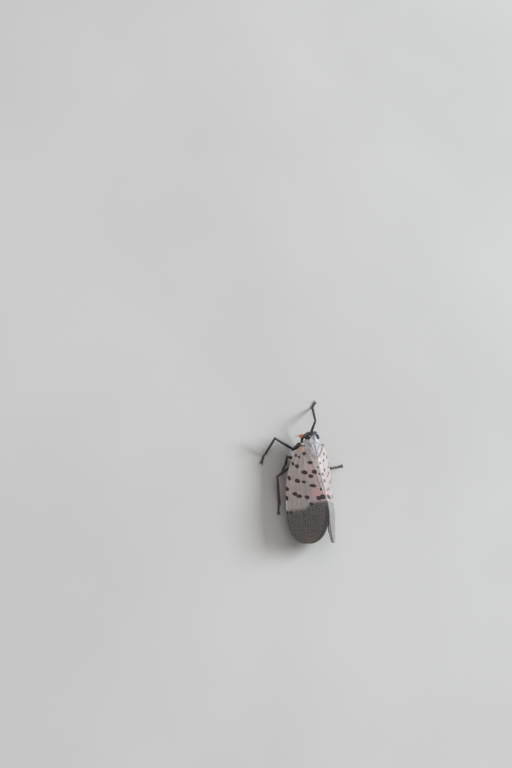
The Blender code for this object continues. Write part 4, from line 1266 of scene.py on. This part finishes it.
def make_antennae(material):
    """Both feelers: a short stalk, the bulb with its pimples, and a fine bowed bristle."""
    for name, side in (("antenna_l", -1), ("antenna_r", 1)):
        out = antenna_direction(side)
        centre = on_side(PEDICEL_CENTRE, side)
        middle = np.array(centre)
        half = out * (PEDICEL_LENGTH / 2)
        profile = [(share, radius * PEDICEL_RADIUS) for share, radius in BULB_PROFILE]
        points, faces = segment(centre - half, centre + half, profile, count=60, sides=72)
        away = unit_rows(points - middle)
        along = (points - middle) @ np.array(out)
        dots = middle + sphere_points(150) * PEDICEL_RADIUS
        dots = dots[((dots - middle) @ np.array(out)) > -0.3]
        dot = nearest_two(middle + away * PEDICEL_RADIUS, dots)[0]
        pimple = 0.022 * np.exp(-((dot / 0.03) ** 2)) * smoothstep((along + 0.3) / 0.1)
        stalk = segment(centre - out * 1.1, centre - half * 0.8, STALK_PROFILE, sides=32)
        root, tip = centre + half * 0.92, centre + out * 1.9 + Vector((0, -0.5, 0.35))
        shares = np.linspace(0, 1, 18)
        path = [root.lerp(tip, f) + Vector((0, 0.12, 0.06)) * math.sin(math.pi * f) for f in shares]
        radii = 0.06 * (1 - shares) ** 0.8 + 0.008
        radii[:3] += (0.05, 0.035, 0.012)
        bristle = limb(path, radii, sides=12)
        shape = joined([(points + away * pimple[:, None], faces), stalk, bristle])
        stalk_dark, bristle_dark = np.full(len(stalk[0]), 0.35), np.ones(len(bristle[0]))
        # The bulb's root end is darkened with painted shading, which makes it look rounder; the stalk is a
        # little darker and the bristle black.
        dark = np.concatenate([0.85 * smoothstep((-0.16 - along) / 0.24), stalk_dark, bristle_dark])
        dot = np.concatenate([dot, np.ones(len(dark) - len(dot))])
        add_piece(name + "_skin", shape, material, [name], fields={"dark": dark, "dot": dot})


# Body.


def body_ring(angle, y, half, top, bottom, out=0.0, power=2.0):
    """One ring across the body, from its half width, top and bottom, grown by out."""
    a, b = superellipse(angle, power)
    z = (top + bottom) / 2 + b * ((top - bottom) / 2 + out)
    return np.stack([a * (half + out), np.full(len(angle), y), z], -1)


def make_thorax(material):
    """The black body between head and belly, with a neck into the head and folds between its plates."""
    angle = turns(120)
    rings = []
    for y, half, top, bottom in spline(THORAX_SECTIONS, 150):
        slant = y - 0.35 * np.cos(angle) ** 2
        folds = sum(much * bump_at(slant, place, wide) for much, place, wide in THORAX_FOLDS)
        out = 0.05 * np.sin(2.6 * y + 1) - 0.12 * folds * smoothstep((0.6 - np.sin(angle)) / 0.4)
        rings.append(body_ring(angle, y, half, top, bottom, out, 2.4))
    roots = [Vector(joints[0]).lerp(Vector(joints[1]), 0.2) for joints in LEG_JOINTS.values()]
    parts = [tube(rings)] + [ball(root, (0.72, 0.66, 0.6)) for root in roots]
    points, faces, normals = fused(parts, voxel=0.06, rounds=2)
    x, y, z = points.T
    slant = y - 0.35 * (x / 2.2) ** 2
    fold = (bump_at(slant, 0.75, 0.12) + bump_at(slant, -1.15, 0.12)) * smoothstep((0.1 - z) / 0.6)
    for root in roots:
        near = np.linalg.norm((points - np.array(root)) / np.array((0.8, 0.74, 0.68)), axis=1)
        fold = np.maximum(fold, 0.8 * bump_at(near, 1.0, 0.12))
    hairs = {"count": 260, "length": 0.16, "radius": 0.012, "lie": Vector((0, -1, -0.2)), "seed": 31}
    shape = with_hairs((points, faces), normals, allowed=z < 0.0, **hairs)
    fold = np.concatenate([fold, np.zeros(len(shape[0]) - len(points))])
    add_piece("thorax_skin", shape, material, ["thorax"], fields={"fold": np.clip(fold, 0, 1)})


def belly_size(share):
    """The belly's half width, top and bottom at a share of its length."""
    half = 2.15 + 0.55 * math.sin(math.pi * min(1.0, share * 1.7)) - 2.0 * share**2.6
    top = 0.05 + 0.95 * math.sin(math.pi / 2 * min(1.0, share * 2.0)) - 1.1 * share**3
    bottom = -2.9 + 0.2 * math.sin(math.pi * share) + 1.5 * share**3
    return half, top, bottom


def make_abdomen(material):
    """The banded belly: each ring overlaps the next, with a fold along the flank and the egg-layer behind."""
    angle = turns(132)
    up, flank = np.sin(angle), np.abs(np.cos(angle))
    rings = [body_ring(angle, -2.9, 1.5, -0.4, -2.4)]
    bands = [np.ones(len(angle))]
    side_fold = bump_at(flank, 1.0, 0.06) * (np.abs(up) < 0.4)
    above = smoothstep((up + 0.15) / 0.3)
    for k in range(BELLY_RINGS):
        for within in (0.0, 0.04, 0.1, 0.2, 0.3, 0.4, 0.5, 0.6, 0.7, 0.8, 0.88, 0.93, 0.965, 0.985):
            share = (k + within) / BELLY_RINGS
            swell = np.interp(within, (0, 0.06, 0.86, 0.93, 0.985), (-0.13, -0.03, 0.1, 0.1, 0.02))
            y = BELLY_FRONT_Y + (BELLY_REAR_Y - BELLY_FRONT_Y) * share
            rings.append(body_ring(angle, y, *belly_size(share), swell - 0.11 * side_fold))
            black = np.interp(within, (0.0, 0.05, 0.5, 0.72, 1.0), (0.7, 1.0, 1.0, 0.0, 0.0)) * above
            plate = (1 - above) * np.interp(within, (0, 0.1, 0.42, 0.55, 1), (0.2, 0.9, 0.9, 0.0, 0.0))
            bands.append(black + plate * smoothstep((0.75 - flank) / 0.1))
    belly_points = len(rings) * len(angle)
    for y, half, top, bottom in spline(EGG_LAYER, 14):
        rings.append(body_ring(angle, y, half, top, bottom, -0.06 * bump_at(flank, 0, 0.2)))
        bands.append(np.zeros(len(angle)))
    tip = np.zeros(len(rings) * len(angle))
    tip[belly_points:] = 1
    fields = {"band": np.concatenate([*bands, [1.0, 0.0]]), "tip": np.concatenate([tip, [0.0, 1.0]])}
    add_piece("abdomen_skin", tube(rings), material, ["abdomen"], fields=fields)


def with_hairs(shape, normals, count, length, radius, lie, seed, allowed):
    """The same shape with short tapering hairs on its allowed points, which lean the way they lie."""
    points, faces = shape
    chance = np.random.default_rng(seed)
    choice = np.flatnonzero(allowed)
    picked = chance.choice(choice, min(count, len(choice)), replace=False)
    picked.sort()
    roots, tips, radii = [], [], []
    for k in picked:
        normal = Vector(normals[k])
        lean = (normal + lie * chance.uniform(0.5, 1.0)).normalized()
        root = Vector(points[k]) - normal * 0.02
        roots.append(root)
        tips.append(root + lean * length * chance.uniform(0.6, 1.1))
        radii.append(radius * chance.uniform(0.8, 1.2))
    return joined([(points, faces), spikes(roots, tips, radii, sides=4, bow=0.05)])


# Legs.


def to_floor(point):
    """A point of the body's own axes, in millimetres over the floor."""
    return BODY_MM @ Vector(point)


def floor_point(x, y, height):
    """A point a given height over the floor, at a place given in the body's axes."""
    level = -(BODY_PLACE.z + y * math.sin(BODY_PITCH)) / math.cos(BODY_PITCH)
    point = to_floor((x, y, level))
    return Vector((point.x, point.y, height))


def shin_spines(knee, ankle, outward):
    """The large spines of a hind shin: four along its outer edge and a crown at its end."""
    along = (ankle - knee).normalized()
    roots, tips, radii = [], [], []
    for share in (0.28, 0.45, 0.62, 0.79):
        root = knee.lerp(ankle, share)
        roots.append(root + outward * 0.08)
        tips.append(root + outward * 0.68 + along * 0.32)
        radii.append(0.115)
    for turn in (-150, -105, -60, -20, 20, 60, 105, 150):
        lean = Matrix.Rotation(math.radians(turn), 3, along) @ outward
        root = knee.lerp(ankle, 0.965)
        size = 0.5 if abs(turn) < 90 else 0.32
        roots.append(root + lean * 0.1)
        tips.append(root + lean * size + along * 0.4)
        radii.append(0.07)
    return roots, tips, radii


def hooked_claw(toe_root, heading, side, sole):
    """One claw of a foot that spreads to its side, and how far along it each of its points lies."""
    path, thick = [], []
    shares = np.linspace(0, 1, 14)
    for f in shares:
        height = 0.26 + 0.13 * math.sin(math.pi * min(1, f * 1.4)) - 0.21 * f**1.6
        spread = 0.09 + 0.27 * math.sin(math.pi / 2 * f)
        path.append(toe_root + heading * (-0.05 + 0.76 * f) + side * spread + UP * (height - sole))
        thick.append(0.1 * (1 - f) ** 0.7 + 0.008)
    return limb(path, thick, sides=14), np.concatenate([np.repeat(shares, 14), [0.0, 1.0]])


def foot_parts(ankle, toe, hind):
    """The three beads of a foot, the small spines under them, the pad and the two hooked claws."""
    heading = Vector((toe.x - ankle.x, toe.y - ankle.y, 0.0))
    length = heading.length
    heading.normalize()
    side = UP.cross(heading)
    sole = FOOT_RADIUS * 0.86
    start = Vector((ankle.x, ankle.y, sole)) + heading * (TIBIA_RADIUS * 0.6)
    reach = length - GAP
    beads = []
    for low, high, radius in ((-0.04, 0.33, 1.0), (0.28, 0.62, 0.92), (0.58, 1.0, 1.0)):
        profile = ((0.0, 0.45), (0.12, 0.68), (0.6, 0.86), (0.85, radius), (0.96, radius * 0.85), (1.0, 0.5))
        bead = [(share, value * FOOT_RADIUS) for share, value in profile]
        rear, front = (start + heading * (share * reach) for share in (low, high))
        beads.append(segment(rear, front, bead, sides=28))
    roots, tips, radii = [], [], []
    for share in (0.33, 0.62):
        end = start + heading * (share * reach)
        for turn in (-70, -42, -14, 14, 42, 70):
            lean = Matrix.Rotation(math.radians(turn), 3, heading) @ Vector((0, 0, -1))
            tip = end + lean * (FOOT_RADIUS * 1.05) + heading * (0.16 if hind else 0.1)
            tip.z = max(tip.z, 0.02)
            roots.append(end + lean * (FOOT_RADIUS * 0.55) - heading * 0.1)
            tips.append(tip)
            radii.append(0.035)
    toe_root = start + heading * (length - 0.5)
    claws = [hooked_claw(toe_root, heading, side * way, sole) for way in (-1, 1)]
    pad = ball(toe_root + heading * 0.3 - UP * (sole - 0.2), (0.15, 0.15, 0.1))
    claws.append((pad, np.full(len(pad[0]), 0.6)))
    points = smoothstep(np.concatenate([point for _, point in claws]))
    return beads, (roots, tips, radii), joined([claw for claw, _ in claws]), points


def make_leg(leg, joints, material, claw_material):
    """One whole leg under one skin, with its spines, hairs and separate claws."""
    hip, trochanter, knee = (to_floor(point) for point in joints[:3])
    ankle = floor_point(*joints[3], ANKLE_HEIGHT)
    toe = floor_point(*joints[4], 0.0)
    hind = leg.startswith("hind")
    tibia_end = 1.12 if hind else 0.95
    tibia = ((0.0, 0.62), (0.03, 0.9), (0.08, 0.8), (0.3, 0.95), (0.7, 0.95), (0.93, tibia_end), (1.0, 0.72))
    tibia = [(share, radius * TIBIA_RADIUS) for share, radius in tibia]
    heading = Vector((toe.x - ankle.x, toe.y - ankle.y, 0.0)).normalized()
    foot_joint = Vector((ankle.x, ankle.y, FOOT_RADIUS * 0.9)) + heading * 0.12
    beads, foot_spines, claws, points = foot_parts(ankle, toe, hind)
    parts = [
        segment(hip, trochanter, COXA_PROFILE, count=28, sides=36),
        ball(trochanter, (0.33, 0.33, 0.33)),
        segment(trochanter, knee, FEMUR_PROFILE, count=60, sides=36, flatten=0.76, ribs=0.05, arms=2),
        ball(knee, (0.24, 0.24, 0.24)),
        segment(knee, ankle, tibia, count=60, sides=36, ribs=0.09),
        segment(ankle, foot_joint, ((0, 0.2), (0.5, 0.15), (1, 0.17)), count=12, sides=24),
        *beads,
    ]
    skin, faces, normals = fused(parts, voxel=0.04, rounds=3)
    skin[:, 2] = np.maximum(skin[:, 2], 0.0)
    joint = np.zeros(len(skin))
    for centre, width in ((trochanter, 0.32), (knee, 0.3), (ankle, 0.25)):
        joint = np.maximum(joint, bump_at(np.linalg.norm(skin - np.array(centre), axis=1), 0, width))
    lie = (ankle - knee).normalized() * 1.3
    hairs = {"count": 420, "length": 0.15, "radius": 0.011, "lie": lie, "seed": len(leg) * 7 + hind}
    shape = with_hairs((skin, faces), normals, allowed=skin[:, 2] > 0.12, **hairs)
    spines = [foot_spines]
    if hind:
        outward = Vector((math.copysign(1.0, knee.x - BODY_PLACE.x), 0, 0.35)).normalized()
        spines.append(shin_spines(knee, ankle, outward))
    for roots, tips, radii in spines:
        shape = joined([shape, spikes(roots, tips, radii, sides=8, bow=0.04)])
    joint = np.concatenate([joint, np.zeros(len(shape[0]) - len(skin))])
    nodes = [f"{leg}_{part}" for part in ("coxa", "femur", "tibia", "tarsus")]
    add_piece(leg + "_skin", shape, material, nodes, FLOOR_SPACE, {"joint": joint})
    add_piece(leg + "_claws", claws, claw_material, (), FLOOR_SPACE, {"point": points})


# The whole.


def main():
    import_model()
    make_camera()
    make_stage()

    make_tegmina(tegmen_finish())
    make_hindwings(hindwing_finish())
    plate = plate_finish()
    make_pronotum(plate)
    make_mesonotum(plate)
    make_tegulae(plate)
    head = head_finish()
    make_head(head)
    make_beak(head)
    make_eyes(eye_finish())
    make_antennae(feeler_finish())
    make_thorax(thorax_finish())
    make_abdomen(abdomen_finish())
    leg, claw = leg_finish(), claw_finish()
    for name, joints in LEG_JOINTS.items():
        make_leg(name, joints, leg, claw)

    bpy.context.view_layer.update()


main()
